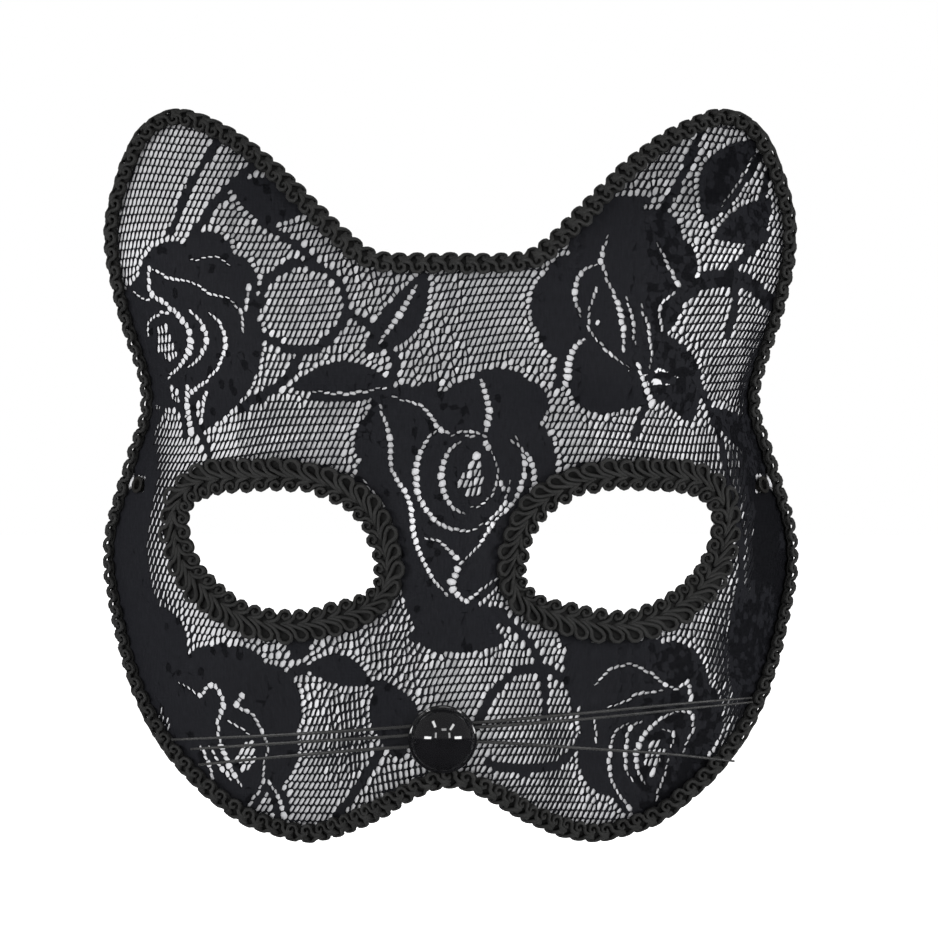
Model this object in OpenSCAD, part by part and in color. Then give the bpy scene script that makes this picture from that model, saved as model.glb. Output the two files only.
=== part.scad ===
// Half mask in the shape of a cat's face: a formed plastic shell with a lace cover,
// braid trim round the outside and round both eyes, a domed nose and nylon whiskers.
// The front faces -Y and +Z is up. The origin is on the inner face of the shell, at
// the bridge, where the mask bears on the wearer.

/* [Overall size] */
// Width across the cheeks, outside the braid
mask_w = 180; // [162:1:198]
// Height from the lowest edge to the ear tips, outside the braid
mask_h = 190; // [171:1:209]
// Depth that the sides turn back round the face
wrap_depth = 68; // [58:1:78]

/* [Sheet thicknesses] */
// Wall of the plastic shell
shell_t = 1; // [0.8:0.1:1.4]
// Lace with its glue
lace_t = 0.5; // [0.3:0.1:0.7]

/* [Braid] */
// Width of the braid laid flat round an eye
eye_braid_w = 9.6; // [8:0.2:11]
// Width of the outer braid's half that lies on the front of the mask
rim_braid_w = 4.8; // [4:0.2:6]
// Height of the braid above the lace
braid_h = 1.8; // [1.2:0.1:2.2]
// How far the outer braid reaches past the cut edge of the shell
braid_over = 2.6; // [2:0.1:3]

/* [Nose] */
// Diameter of the nose dome
nose_d = 16.4; // [14:0.2:19]
// Height of the dome above its flange
nose_dome_h = 6.2; // [5:0.2:7]
// Diameter of the flange under the dome
nose_flange_d = 17.6; // [15.2:0.2:20]
// Thickness of the flange under the dome
nose_flange_t = 1.2; // [0.8:0.1:1.6]
// Diameter of the shank behind the nose
shank_d = 4.4; // [3.6:0.2:5]

/* [Whiskers] */
// Diameter of a whisker
whisker_d = 0.9; // [0.6:0.1:1.2]

/* [Strap eyelets] */
// Diameter of the hole that a tie passes through
eyelet_bore_d = 2.6; // [2.2:0.1:2.8]
// Diameter of the flange behind the shell
eyelet_flange_d = 6.4; // [5.8:0.2:7.2]
// Diameter of the rolled rim on the front
eyelet_roll_d = 4.6; // [4.4:0.1:5]

/* [Hidden] */
$fn = 48;

nominal_w = 180;
nominal_h = 190;
size_x = mask_w / nominal_w;
size_z = mask_h / nominal_h;

// Right half of the outside of the braid, from the top centre to the bottom centre
outline_marks = [[0, 152], [18, 152.5], [27, 158.5], [46, 177], [60, 186.5], [72, 190],
    [82, 184], [88.5, 168], [90, 155], [87, 138], [80.5, 115.5], [84.5, 99], [90, 80],
    [89.5, 64], [83, 39], [73, 21], [58, 7], [46, 1.5], [34, 0], [20, 5], [8, 12],
    [0, 14.5]];
// Right eye, inside its braid, from the inner corner over the top
eye_marks = [[19.5, 70], [23, 81], [30, 87.5], [39, 90.7], [50, 90.2], [60.5, 89],
    [65.8, 85.5], [66, 79], [62, 70.5], [53, 62.6], [43, 60], [31, 61.8], [22, 65]];
eye_middle = [43 * size_x, 76 * size_z];
// The shell is cut this far outside the opening that the eye braid leaves
eye_cut_back = 2;
// The shell is cut this far inside the outline, seen from the front
edge_cut_back = 2;

// Where the shell bears on the bridge, above the lowest edge
bridge_z = 76 * size_z;

outline_steps = 44;
middle_steps = 15;
shell_rows = 7;
rim_steps = 68;
eye_steps = 56;

function scaled(marks) = [for (m = marks) [m.x * size_x, m.y * size_z]];
function mirrored(p) = [-p.x, p.y];
function unit(v) = v / norm(v);
function ramp(t) = let (k = max(0, min(1, t))) k * k * (3 - 2 * k);
function hill(x, z, cx, cz, wx, wz) = exp(-pow((x - cx) / wx, 2) - pow((z - cz) / wz, 2));

// A smooth curve through four marks, between the second and the third
function curve(a, b, c, d, t) = 0.5 * (2 * b + (c - a) * t
    + (2 * a - 5 * b + 4 * c - d) * t * t + (3 * b - a - 3 * c + d) * t * t * t);
// Half an outline: its marks continue as their own mirror image past both ends
function half_at(marks, u) = let (
    n = len(marks),
    i = min(floor(u), n - 2),
    before = i == 0 ? mirrored(marks[1]) : marks[i - 1],
    after = i == n - 2 ? mirrored(marks[n - 2]) : marks[i + 2])
    curve(before, marks[i], marks[i + 1], after, u - i);
function loop_at(marks, u) = let (n = len(marks), i = floor(u) % n)
    curve(marks[(i + n - 1) % n], marks[i], marks[(i + 1) % n], marks[(i + 2) % n], u - floor(u));
// Running length along a list of points, paired with each point's place in the list
function run_table(points, i = 0, so_far = 0) = i == len(points) - 1
    ? [[so_far, i]]
    : concat([[so_far, i]],
        run_table(points, i + 1, so_far + norm(points[i + 1] - points[i])));
// The points again, evenly spaced: steps + 1 of them, with both ends
function evenly(points, steps) = let (table = run_table(points), whole = table[len(points) - 1][0])
    [for (k = [0:steps]) let (
        u = lookup(whole * k / steps, table),
        i = min(floor(u), len(points) - 2))
        points[i] + (points[i + 1] - points[i]) * (u - i)];

fine = 8;
outline_nominal = scaled(outline_marks);
half_outline = [for (k = [0:(len(outline_marks) - 1) * fine]) half_at(outline_nominal, k / fine)];
eye_nominal = scaled(eye_marks);
eye_opening = [for (k = [0:len(eye_marks) * fine]) loop_at(eye_nominal, k / fine)];

// Points moved sideways by d: away from the middle of the shape when d is above zero.
// The lists run clockwise, so outwards is to the left.
function shifted(points, d, closed) = let (n = len(points)) [for (i = [0:n - 1]) let (
    a = i > 0 ? points[i - 1] : closed ? points[n - 2] : mirrored(points[1]),
    b = i < n - 1 ? points[i + 1] : closed ? points[1] : mirrored(points[n - 2]),
    t = unit(b - a))
    points[i] + d * [-t.y, t.x]];

shell_edge = evenly(shifted(half_outline, -edge_cut_back, false), outline_steps);
eye_cut = shifted(eye_opening, eye_cut_back, true);

// ---- the face: depth of the shell's front at x, and z above the lowest edge ----
function wrap_radius(z) = 92 - 8 * exp(-pow((z - 114) / 18, 2));
function wrap_share(z) = 1 - 0.55 * ramp((z - 118) / 44);
wrap_power = 2.5;
function face(x, z) = let (
    a = abs(x),
    // Distance from the middle plane, rounded so that both sides meet without a crease
    side = sqrt(x * x + 25),
    round_face = wrap_depth * wrap_share(z)
        * (1 - pow(1 - pow(min(a / wrap_radius(z), 0.985), wrap_power), 1 / wrap_power)),
    forehead = 0.0036 * pow(max(0, z - 100), 2),
    under = 0.006 * pow(max(0, 42 - z), 2),
    ridge_w = 13 + 9 * ramp((72 - z) / 44),
    ridge = (6 + 8 * ramp((92 - z) / 62)) * exp(-pow(x / ridge_w, 2)) * ramp((114 - z) / 34),
    muzzle = 8 * hill(side, z, 19, 25, 17, 17),
    brow = 6 * hill(side, z, 35, 105, 21, 11),
    socket = 5 * hill(side, z, 43, 74, 26, 15),
    cheek = 5 * hill(side, z, 60, 48, 18, 16),
    ear = 5 * hill(side, z, 66, 158, 19, 23))
    round_face + forehead + under - ridge - muzzle - brow + socket - cheek - ear;
function depth(p) = face(p.x / size_x, p.y / size_z);
function skin(p) = [p.x, depth(p), p.y];
slope_step = 0.4;
function outward(p) = unit([
    (depth(p + [slope_step, 0]) - depth(p - [slope_step, 0])) / (2 * slope_step),
    -1,
    (depth(p + [0, slope_step]) - depth(p - [0, slope_step])) / (2 * slope_step)]);
function raised(p, h) = skin(p) + h * outward(p);

bridge_y = raised([0, bridge_z], -shell_t).y;
module placed() translate([0, -bridge_y, -bridge_z]) children();

// ---- formed sheets: a ring of quads from each eye's cut to the edge and the middle ----
bottom_edge = shell_edge[outline_steps];
top_edge = shell_edge[0];
middle_line = [for (k = [1:middle_steps - 1])
    bottom_edge + (top_edge - bottom_edge) * k / middle_steps];
half_rim = concat(shell_edge, middle_line);
rim_count = len(half_rim);

// Where a ray from the middle of the eye meets the cut round the eye
function crosses(a, b, way) = let (d = b - a, c = way.x * d.y - way.y * d.x)
    [(a.x * d.y - a.y * d.x) / c, (a.x * way.y - a.y * way.x) / c];
function eye_ray(target) = let (way = unit(target - eye_middle), hits = [
    for (i = [0:len(eye_cut) - 2]) let (
        h = crosses(eye_cut[i] - eye_middle, eye_cut[i + 1] - eye_middle, way))
        if (h[0] > 0 && h[1] >= 0 && h[1] < 1) h[0]])
    eye_middle + way * hits[0];
// Rows crowd towards the eye, where the ring is short
function row_share(r) = pow(r / (shell_rows - 1), 1.15);
half_grid = [for (r = [0:shell_rows - 1]) [for (target = half_rim) let (start = eye_ray(target))
    start + (target - start) * row_share(r)]];

// One half of a sheet between two heights off the shell's front
function half_points(side, low, high) = [for (h = [high, low]) for (row = half_grid) for (p = row)
    raised([side * p.x, p.y], h)];
function at(r, c, layer, half) = ((half * 2 + layer) * shell_rows + r) * rim_count + c % rim_count;
// Two triangles for a quad, turned the other way round on the mirrored half
function quad(a, b, c, d, turn) = turn ? [[c, b, a], [d, c, a]] : [[a, b, c], [a, c, d]];
function sheet_faces(half) = let (turn = half == 1) concat(
    [for (layer = [0, 1]) for (r = [0:shell_rows - 2]) for (c = [0:rim_count - 1]) each
        quad(at(r, c, layer, half), at(r, c + 1, layer, half), at(r + 1, c + 1, layer, half),
            at(r + 1, c, layer, half), (layer == 0) != turn)],
    [for (c = [0:rim_count - 1]) each
        quad(at(0, c, 0, half), at(0, c + 1, 0, half), at(0, c + 1, 1, half), at(0, c, 1, half), turn)],
    [for (c = [0:outline_steps - 1]) each
        quad(at(shell_rows - 1, c, 0, half), at(shell_rows - 1, c + 1, 0, half),
            at(shell_rows - 1, c + 1, 1, half), at(shell_rows - 1, c, 1, half), !turn)]);
module formed_sheet(low, high)
    polyhedron(concat(half_points(1, low, high), half_points(-1, low, high)),
        concat(sheet_faces(0), sheet_faces(1)), convexity = 10);

// ---- where the fittings go, as x and z ----
nose_at = [-2 * size_x, 27.4 * size_z];
eyelet_at = [80.5 * size_x, 92 * size_z];
// Turns +Z to the way that the shell faces at p, with the origin on its front
module on_shell(p) {
    n = outward(p);
    translate(skin(p))
        rotate([0, acos(n.z), atan2(n.y, n.x)])
            children();
}
clear = 0.1;
shank_hole_d = shank_d + 2 * clear;
barrel_t = 0.4;
barrel_d = eyelet_bore_d + 2 * barrel_t;
// Long enough to cut both sheets
hole_through = 8;
module fitting_holes() {
    on_shell(nose_at)
        cylinder(d = shank_hole_d, h = hole_through, center = true);
    for (side = [-1, 1])
        on_shell([side * eyelet_at.x, eyelet_at.y])
            cylinder(d = barrel_d + 2 * clear, h = hole_through, center = true);
}

module mask_shell() {
    color("silver")
        placed()
            difference() {
                formed_sheet(-shell_t, 0);
                fitting_holes();
            }
}

module lace_cover() {
    color("dimgray")
        placed()
            difference() {
                formed_sheet(0, lace_t);
                fitting_holes();
            }
}

// ---- braid: a section carried round a closed path on the shell ----
// A section point is [distance in from the path along the surface, height off the shell].
function braid_ring(p, inward, section) = let (
    q = p + inward * slope_step,
    steep = norm(skin(q) - skin(p)) / slope_step,
    off = unit(skin(p) - skin(q)),
    up = outward(p))
    [for (s = section) s[0] >= 0
        ? raised(p + inward * s[0] / steep, s[1])
        : skin(p) + up * s[1] - off * s[0]];
module swept(rings) {
    n = len(rings);
    m = len(rings[0]);
    polyhedron([for (ring = rings) each ring],
        [for (i = [0:n - 1]) for (j = [0:m - 1]) let (
            a = i * m + j, b = i * m + (j + 1) % m,
            c = (i + 1) % n * m + (j + 1) % m, d = (i + 1) % n * m + j)
            each [[a, b, c], [a, c, d]]], convexity = 10);
}
function inwards(points, i, closed) = let (
    n = len(points),
    a = i > 0 ? points[i - 1] : closed ? points[n - 2] : mirrored(points[1]),
    b = i < n - 1 ? points[i + 1] : closed ? points[1] : mirrored(points[n - 2]),
    t = unit(b - a))
    [t.y, -t.x];

rim_path = evenly(shell_edge, rim_steps);
rim_top = lace_t + braid_h;
// The outer half of the braid leans back off the edge, and is glued to the cut edge
lean_back = 3.2;
glued_back = 0.6;
glued_down = 0.9;
// Where the section's corners are cut off
foot_in = 0.4;
foot_h = 0.5;
crown_in = 1;
crown_start = 0.2;
fold_in = 0.8;
fold_h = 0.6;
hem_in = 0.2;
hem_t = 1.2;
rim_section = [[0, lace_t], [rim_braid_w - foot_in, lace_t], [rim_braid_w, lace_t + foot_h],
    [rim_braid_w - crown_in, rim_top], [crown_start, rim_top],
    [-braid_over + fold_in, lace_t + fold_h], [-braid_over, -shell_t / 2],
    [-braid_over + hem_in, -lean_back], [-braid_over + hem_in + hem_t, -lean_back],
    [glued_back, -shell_t - glued_down], [glued_back, -shell_t], [0, -shell_t]];
module outer_braid() {
    right = [for (i = [0:rim_steps])
        braid_ring(rim_path[i], inwards(rim_path, i, false), rim_section)];
    left = [for (i = [1:rim_steps - 1]) [for (p = right[rim_steps - i]) [-p.x, p.y, p.z]]];
    color([0.1, 0.1, 0.1])
        placed()
            swept(concat(right, left));
}

eye_path = evenly(eye_opening, eye_steps);
// The braid's foot stands this far off the lace, and its sides slope in to a flat crown
foot_low = lace_t + 0.02;
side_h = lace_t + braid_h * 0.6;
side_in = 0.2;
eye_crown_in = 1.6;
eye_section = [[0, foot_low], [side_in, side_h], [eye_crown_in, rim_top],
    [eye_braid_w - eye_crown_in, rim_top], [eye_braid_w - side_in, side_h],
    [eye_braid_w, foot_low]];
module eye_braid() {
    rings = [for (i = [0:eye_steps - 1])
        braid_ring(eye_path[i], -inwards(eye_path, i, true), eye_section)];
    color([0.1, 0.1, 0.1])
        placed()
            swept([for (ring = rings) [for (k = [len(ring) - 1:-1:0]) ring[k]]]);
}
module eye_braid_right() eye_braid();
module eye_braid_left() mirror([1, 0, 0]) eye_braid();

// ---- nose: a dome on a flange, with a shank through the shell and a push-on washer ----
// The nose rides on the whiskers, with this much room for them
whisker_room = 0.1;
nose_lift = lace_t + whisker_d + whisker_room;
shank_end = 5;
module nose_profile() {
    cap_r = (pow(nose_d / 2, 2) + pow(nose_dome_h, 2)) / (2 * nose_dome_h);
    intersection() {
        translate([0, nose_lift + nose_flange_t + nose_dome_h - cap_r])
            circle(r = cap_r, $fn = 96);
        translate([0, nose_lift + nose_flange_t])
            square([nose_d / 2, nose_dome_h + 1]);
    }
    translate([0, nose_lift])
        square([nose_flange_d / 2, nose_flange_t]);
    translate([0, -shank_end])
        square([shank_d / 2, shank_end + nose_lift + 0.1]);
}
module nose_button() {
    color([0.03, 0.03, 0.03])
        placed()
            on_shell(nose_at)
                rotate_extrude()
                    nose_profile();
}
washer_t = 0.8;
washer_d = 13;
washer_gap = 0.6;
// The washer grips the shank with this much play across it
washer_play = 0.04;
overcut = 1;
module nose_washer() {
    color([0.85, 0.85, 0.82])
        placed()
            on_shell(nose_at)
                translate([0, 0, -shell_t - washer_gap - washer_t])
                    difference() {
                        cylinder(d = washer_d, h = washer_t);
                        translate([0, 0, -overcut])
                            cylinder(d = shank_d + washer_play, h = washer_t + 2 * overcut);
                    }
}

// ---- whiskers: filaments held down by the nose, two above its shank and one below ----
// Marks are [x, z above the lowest edge].
whisker_marks = [
    [[-71.5, 26.8], [-41.5, 28.3], [-11, 30.4], [-2, 31.4],
        [6, 31.4], [33.5, 33.7], [59, 36], [77.5, 37.4]],
    [[-66.5, 24.4], [-41.5, 26.2], [-11, 28.2], [-2, 30.25],
        [6, 30.2], [33.5, 32.2], [59, 34.6], [77.7, 36.3]],
    [[-64.5, 20.4], [-41.5, 22.8], [-11, 25.2], [-2, 24.5],
        [6, 26.5], [33.5, 24.8], [56, 23.1], [73, 21.1]]];
whisker_sides = 8;
whisker_fine = 5;
seat = skin(nose_at);
// The filaments bend back by this much at the full half width
whisker_bend = 17;
whisker_reach = 78;
module whisker(index) {
    marks = scaled(whisker_marks[index]);
    last = len(marks) - 1;
    n = outward(nose_at);
    line = [for (k = [0:last * whisker_fine]) let (
        u = k / whisker_fine, i = min(floor(u), last - 1),
        a = marks[max(i - 1, 0)], d = marks[min(i + 2, last)],
        p = curve(a, marks[i], marks[i + 1], d, u - i),
        off = p - nose_at,
        flat = seat.y + (n.x * off.x + n.z * off.y) / -n.y)
        [p.x, flat - (lace_t + (whisker_d + whisker_room) / 2)
            + whisker_bend * pow(off.x / whisker_reach, 2), p.y]];
    count = len(line);
    rings = [for (k = [0:count - 1]) let (
        t = unit(line[min(k + 1, count - 1)] - line[max(k - 1, 0)]),
        v = unit(cross(t, [0, 0, 1])), w = cross(v, t))
        [for (s = [0:whisker_sides - 1]) let (a = 360 * s / whisker_sides)
            line[k] + whisker_d / 2 * (cos(a) * v + sin(a) * w)]];
    color([0.05, 0.05, 0.05])
        placed()
            polyhedron([for (ring = rings) each ring], concat(
                [[for (s = [0:whisker_sides - 1]) s]],
                [[for (s = [whisker_sides - 1:-1:0]) (count - 1) * whisker_sides + s]],
                [for (k = [0:count - 2]) for (s = [0:whisker_sides - 1]) let (
                    e = (s + 1) % whisker_sides, a = k * whisker_sides)
                    each [[a + s, a + whisker_sides + e, a + e],
                        [a + s, a + whisker_sides + s, a + whisker_sides + e]]]));
}
module whisker_upper() whisker(0);
module whisker_middle() whisker(1);
module whisker_lower() whisker(2);

// ---- strap eyelets, one through each temple ----
flange_t = 0.5;
seat_gap = 0.25;
module eyelet(side) {
    color([0.08, 0.08, 0.08])
        placed()
            on_shell([side * eyelet_at.x, eyelet_at.y])
                rotate_extrude()
                    translate([eyelet_bore_d / 2, 0]) {
                        translate([0, -shell_t - seat_gap - flange_t])
                            square([barrel_t, shell_t + lace_t + 2 * seat_gap + 2 * flange_t]);
                        translate([0, lace_t + seat_gap])
                            square([(eyelet_roll_d - eyelet_bore_d) / 2, flange_t]);
                        translate([0, -shell_t - seat_gap - flange_t])
                            square([(eyelet_flange_d - eyelet_bore_d) / 2, flange_t]);
                    }
}
module strap_eyelet_left() eyelet(-1);
module strap_eyelet_right() eyelet(1);

mask_shell();
lace_cover();
outer_braid();
eye_braid_left();
eye_braid_right();
nose_button();
nose_washer();
whisker_upper();
whisker_middle();
whisker_lower();
strap_eyelet_left();
strap_eyelet_right();
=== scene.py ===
"""A cat half mask: formed shell, lace cover, gimp braid, domed nose, whiskers and eyelets.

The shapes are worked out in millimetres, with x to the right and z up from the lowest edge
of the mask, and are put into the frame in metres by place().
"""

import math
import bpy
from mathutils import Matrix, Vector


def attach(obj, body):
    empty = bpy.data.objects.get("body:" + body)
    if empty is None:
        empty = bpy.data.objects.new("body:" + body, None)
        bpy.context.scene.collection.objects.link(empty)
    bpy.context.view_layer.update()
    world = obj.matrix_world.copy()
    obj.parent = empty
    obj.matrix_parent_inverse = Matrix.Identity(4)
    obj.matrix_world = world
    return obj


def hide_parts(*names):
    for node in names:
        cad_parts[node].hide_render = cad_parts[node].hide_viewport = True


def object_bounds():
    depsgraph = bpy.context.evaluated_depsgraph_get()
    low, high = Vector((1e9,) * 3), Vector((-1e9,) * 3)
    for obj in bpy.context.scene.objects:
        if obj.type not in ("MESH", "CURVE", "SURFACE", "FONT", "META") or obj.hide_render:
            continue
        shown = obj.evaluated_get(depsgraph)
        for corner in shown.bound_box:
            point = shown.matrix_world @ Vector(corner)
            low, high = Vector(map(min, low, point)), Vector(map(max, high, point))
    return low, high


bl_info = {
    "name": "Lace Half Mask",
    "version": (1, 0, 0),
    "blender": (4, 5, 0),
    "location": "View3D > Sidebar > Mask",
    "description": "Makes a lace-covered cat half mask round its packed frame",
    "category": "Object",
}

import bmesh
import bpy
import numpy as np
from mathutils import Matrix, Vector
from mathutils.geometry import delaunay_2d_cdt

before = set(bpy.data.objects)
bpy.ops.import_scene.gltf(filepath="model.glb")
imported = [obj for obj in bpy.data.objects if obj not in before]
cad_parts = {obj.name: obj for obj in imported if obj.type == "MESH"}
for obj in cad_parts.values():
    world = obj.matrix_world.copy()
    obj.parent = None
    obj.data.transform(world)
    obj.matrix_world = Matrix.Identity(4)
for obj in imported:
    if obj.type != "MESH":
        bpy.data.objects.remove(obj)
CAD_BOX = [list(corner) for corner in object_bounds()]

MM = 0.001
BODY = "root"

# ---------------------------------------------------------------------------
# Settings
# ---------------------------------------------------------------------------


class MaskSizes(bpy.types.PropertyGroup):
    """Sizes of the mask's sheets, strands and cords"""

    shell_thickness: bpy.props.FloatProperty(
        name="Shell", description="Wall of the plastic shell", default=1.0 * MM, unit="LENGTH"
    )
    lace_thickness: bpy.props.FloatProperty(
        name="Lace", description="Thickness of the lace", default=0.32 * MM, unit="LENGTH"
    )
    net_pitch: bpy.props.FloatProperty(
        name="Net pitch", description="Distance between columns of the net", default=1.45 * MM,
        unit="LENGTH",
    )
    net_row: bpy.props.FloatProperty(
        name="Net row", description="Distance between rows of the net", default=2.15 * MM,
        unit="LENGTH",
    )
    braid_pitch: bpy.props.FloatProperty(
        name="Scroll pitch", description="Distance between the scrolls of the braid",
        default=4.3 * MM, unit="LENGTH",
    )
    cord_width: bpy.props.FloatProperty(
        name="Gimp cord", description="Diameter of the cord that makes the scrolls",
        default=1.0 * MM, unit="LENGTH",
    )
    whisker_width: bpy.props.FloatProperty(
        name="Whisker", description="Diameter of a whisker at the nose", default=0.9 * MM,
        unit="LENGTH",
    )


class MaskColours(bpy.types.PropertyGroup):
    """Colours of the mask's materials"""

    shell: bpy.props.FloatVectorProperty(
        name="Shell", description="Silver-grey plastic", subtype="COLOR", size=3,
        min=0, max=1, default=(0.52, 0.52, 0.535),
    )
    lace: bpy.props.FloatVectorProperty(
        name="Lace", description="Black nylon thread", subtype="COLOR", size=3,
        min=0, max=1, default=(0.0062, 0.0064, 0.008),
    )
    braid: bpy.props.FloatVectorProperty(
        name="Braid", description="Black rayon cord", subtype="COLOR", size=3,
        min=0, max=1, default=(0.0145, 0.0145, 0.0142),
    )
    nose: bpy.props.FloatVectorProperty(
        name="Nose", description="Polished black plastic", subtype="COLOR", size=3,
        min=0, max=1, default=(0.004, 0.004, 0.0045),
    )
    floor: bpy.props.FloatVectorProperty(
        name="Floor", description="Pale studio floor", subtype="COLOR", size=3,
        min=0, max=1, default=(0.9, 0.9, 0.9),
    )


# ---------------------------------------------------------------------------
# The face: one smooth surface, y = depth(x, z)
# ---------------------------------------------------------------------------

BRIDGE_Z = 76.0
EYE_MIDDLE = (43.0, 76.0)
EYE_CUT_BACK = 2.0
EDGE_CUT_BACK = 2.0
LACE_SEAT = 0.5
SLOPE_STEP = 0.4

# Right half of the outside of the braid, from the top centre to the bottom centre
OUTLINE_MARKS = [
    (0, 152), (18, 152.5), (27, 158.5), (46, 177), (60, 186.5), (72, 190), (82, 184),
    (88.5, 168), (90, 155), (87, 138), (80.5, 115.5), (84.5, 99), (90, 80), (89.5, 64),
    (83, 39), (73, 21), (58, 7), (46, 1.5), (34, 0), (20, 5), (8, 12), (0, 14.5),
]
# Right eye, inside its braid, from the inner corner over the top
EYE_MARKS = [
    (19.5, 70), (23, 81), (30, 87.5), (39, 90.7), (50, 90.2), (60.5, 89), (65.8, 85.5),
    (66, 79), (62, 70.5), (53, 62.6), (43, 60), (31, 61.8), (22, 65),
]


def ramp(t):
    """0 below 0, 1 above 1, and a smooth step between."""
    k = np.clip(t, 0, 1)
    return k * k * (3 - 2 * k)


def hill(x, z, cx, cz, wx, wz):
    return np.exp(-(((x - cx) / wx) ** 2) - ((z - cz) / wz) ** 2)


def depth(x, z):
    """How far back the shell's front lies at x and z, in millimetres."""
    x, z = np.asarray(x, float), np.asarray(z, float)
    side = np.sqrt(x * x + 25)
    wrap_radius = 92 - 8 * np.exp(-(((z - 114) / 18) ** 2))
    wrap_share = 1 - 0.55 * ramp((z - 118) / 44)
    turned = np.minimum(np.abs(x) / wrap_radius, 0.985) ** 2.5
    round_face = 68 * wrap_share * (1 - (1 - turned) ** (1 / 2.5))
    forehead = 0.0036 * np.maximum(0, z - 100) ** 2
    under = 0.006 * np.maximum(0, 42 - z) ** 2
    ridge_w = 13 + 9 * ramp((72 - z) / 44)
    ridge = (6 + 8 * ramp((92 - z) / 62)) * np.exp(-((x / ridge_w) ** 2))
    ridge = ridge * ramp((114 - z) / 34)
    muzzle = 8 * hill(side, z, 19, 25, 17, 17)
    brow = 6 * hill(side, z, 35, 105, 21, 11)
    socket = 5 * hill(side, z, 43, 74, 26, 15)
    cheek = 5 * hill(side, z, 60, 48, 18, 16)
    ear = 5 * hill(side, z, 66, 158, 19, 23)
    return round_face + forehead + under - ridge - muzzle - brow + socket - cheek - ear


def slopes(x, z):
    across = (depth(x + SLOPE_STEP, z) - depth(x - SLOPE_STEP, z)) / (2 * SLOPE_STEP)
    along = (depth(x, z + SLOPE_STEP) - depth(x, z - SLOPE_STEP)) / (2 * SLOPE_STEP)
    return across, along


def outward(x, z):
    """Unit vectors that point out of the front of the shell."""
    across, along = slopes(x, z)
    n = np.stack([across, -np.ones_like(across), along], axis=-1)
    return n / np.linalg.norm(n, axis=-1, keepdims=True)


def skin(x, z):
    """Points on the shell's front, in millimetres."""
    return np.stack([np.asarray(x, float), depth(x, z), np.asarray(z, float)], axis=-1)


def raised(x, z, height):
    """Points that stand height off the shell's front, in millimetres."""
    return skin(x, z) + np.asarray(height, float)[..., None] * outward(x, z)


BRIDGE_Y = float(raised(0.0, BRIDGE_Z, -1.0)[1])


def place(points):
    """Millimetres above the lowest edge to the frame's metres."""
    return (np.asarray(points, float) - [0, BRIDGE_Y, BRIDGE_Z]) * MM


def spline(marks, per_mark, closed=False, mirrored_ends=False):
    """A smooth curve through the marks, per_mark points for each stretch."""
    m = np.array(marks, float)
    if closed:
        m = np.vstack([m[-1:], m, m[:2]])
    elif mirrored_ends:
        flip = [-1, 1]
        m = np.vstack([m[1:2] * flip, m, m[-2:-1] * flip])
    else:
        m = np.vstack([2 * m[0] - m[1], m, 2 * m[-1] - m[-2]])
    t = np.arange(per_mark)[:, None] / per_mark
    out = []
    for i in range(1, len(m) - 2):
        a, b, c, d = m[i - 1 : i + 3]
        out.append(
            0.5 * (2 * b + (c - a) * t + (2 * a - 5 * b + 4 * c - d) * t * t
                   + (3 * b - a - 3 * c + d) * t**3)
        )
    return np.vstack(out + [m[-2:-1]])


def evenly(points, steps):
    """The same line again with steps + 1 evenly spaced points."""
    run = np.r_[0, np.cumsum(np.linalg.norm(np.diff(points, axis=0), axis=1))]
    at = np.linspace(0, run[-1], steps + 1)
    return np.stack([np.interp(at, run, points[:, k]) for k in range(points.shape[1])], 1)


def left_of(points):
    """Unit vectors to the left of the way along a closed loop whose last point is its first."""
    ring = points[:-1]
    way = np.roll(ring, -1, 0) - np.roll(ring, 1, 0)
    way /= np.linalg.norm(way, axis=1, keepdims=True)
    out = np.stack([-way[:, 1], way[:, 0]], 1)
    return np.vstack([out, out[:1]])


HALF_OUTLINE = spline(OUTLINE_MARKS, 12, mirrored_ends=True)
# The whole outline runs clockwise as seen from the front, so its left is outwards
OUTLINE = np.vstack([HALF_OUTLINE, HALF_OUTLINE[-2::-1] * [-1, 1]])
SHELL_EDGE = OUTLINE - EDGE_CUT_BACK * left_of(OUTLINE)
EYE_OPENING = spline(EYE_MARKS, 12, closed=True)
EYE_CUT = EYE_OPENING + EYE_CUT_BACK * left_of(EYE_OPENING)


# ---------------------------------------------------------------------------
# Small helpers for objects and meshes
# ---------------------------------------------------------------------------


def new_piece(name, bm, material, smooth=True):
    """A bmesh in the frame's metres becomes an object that rides on the mask."""
    mesh = bpy.data.meshes.new(name)
    bm.to_mesh(mesh)
    bm.free()
    if smooth:
        mesh.shade_smooth()
    obj = bpy.data.objects.new(name, mesh)
    bpy.context.scene.collection.objects.link(obj)
    mesh.materials.append(material)
    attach(obj, BODY)
    return obj


def positions(bm):
    return np.array([v.co[:] for v in bm.verts])


def set_positions(bm, points):
    for v, p in zip(bm.verts, points):
        v.co = p


def grid_numbers(bm, columns, rows):
    """Column and row number of each vertex of a grid made with a size of 1."""
    flat = positions(bm)
    return (np.rint((flat[:, 0] + 1) / 2 * columns).astype(int),
            np.rint((flat[:, 1] + 1) / 2 * rows).astype(int))


def new_verts(geom):
    return [part for part in geom if isinstance(part, bmesh.types.BMVert)]


def tube(bm, sides, count):
    """Adds a tube to a bmesh and returns its rings of vertices, which still have to be placed."""
    rings = [bmesh.ops.create_circle(bm, segments=sides, radius=1)["verts"]]
    for _ in range(count - 1):
        last = set(rings[-1])
        edges = [e for e in bm.edges if e.verts[0] in last and e.verts[1] in last]
        made = set(new_verts(bmesh.ops.extrude_edge_only(bm, edges=edges)["geom"]))
        rings.append([next(e.other_vert(v) for e in v.link_edges if e.other_vert(v) in made)
                      for v in rings[-1]])
    return rings


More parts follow.
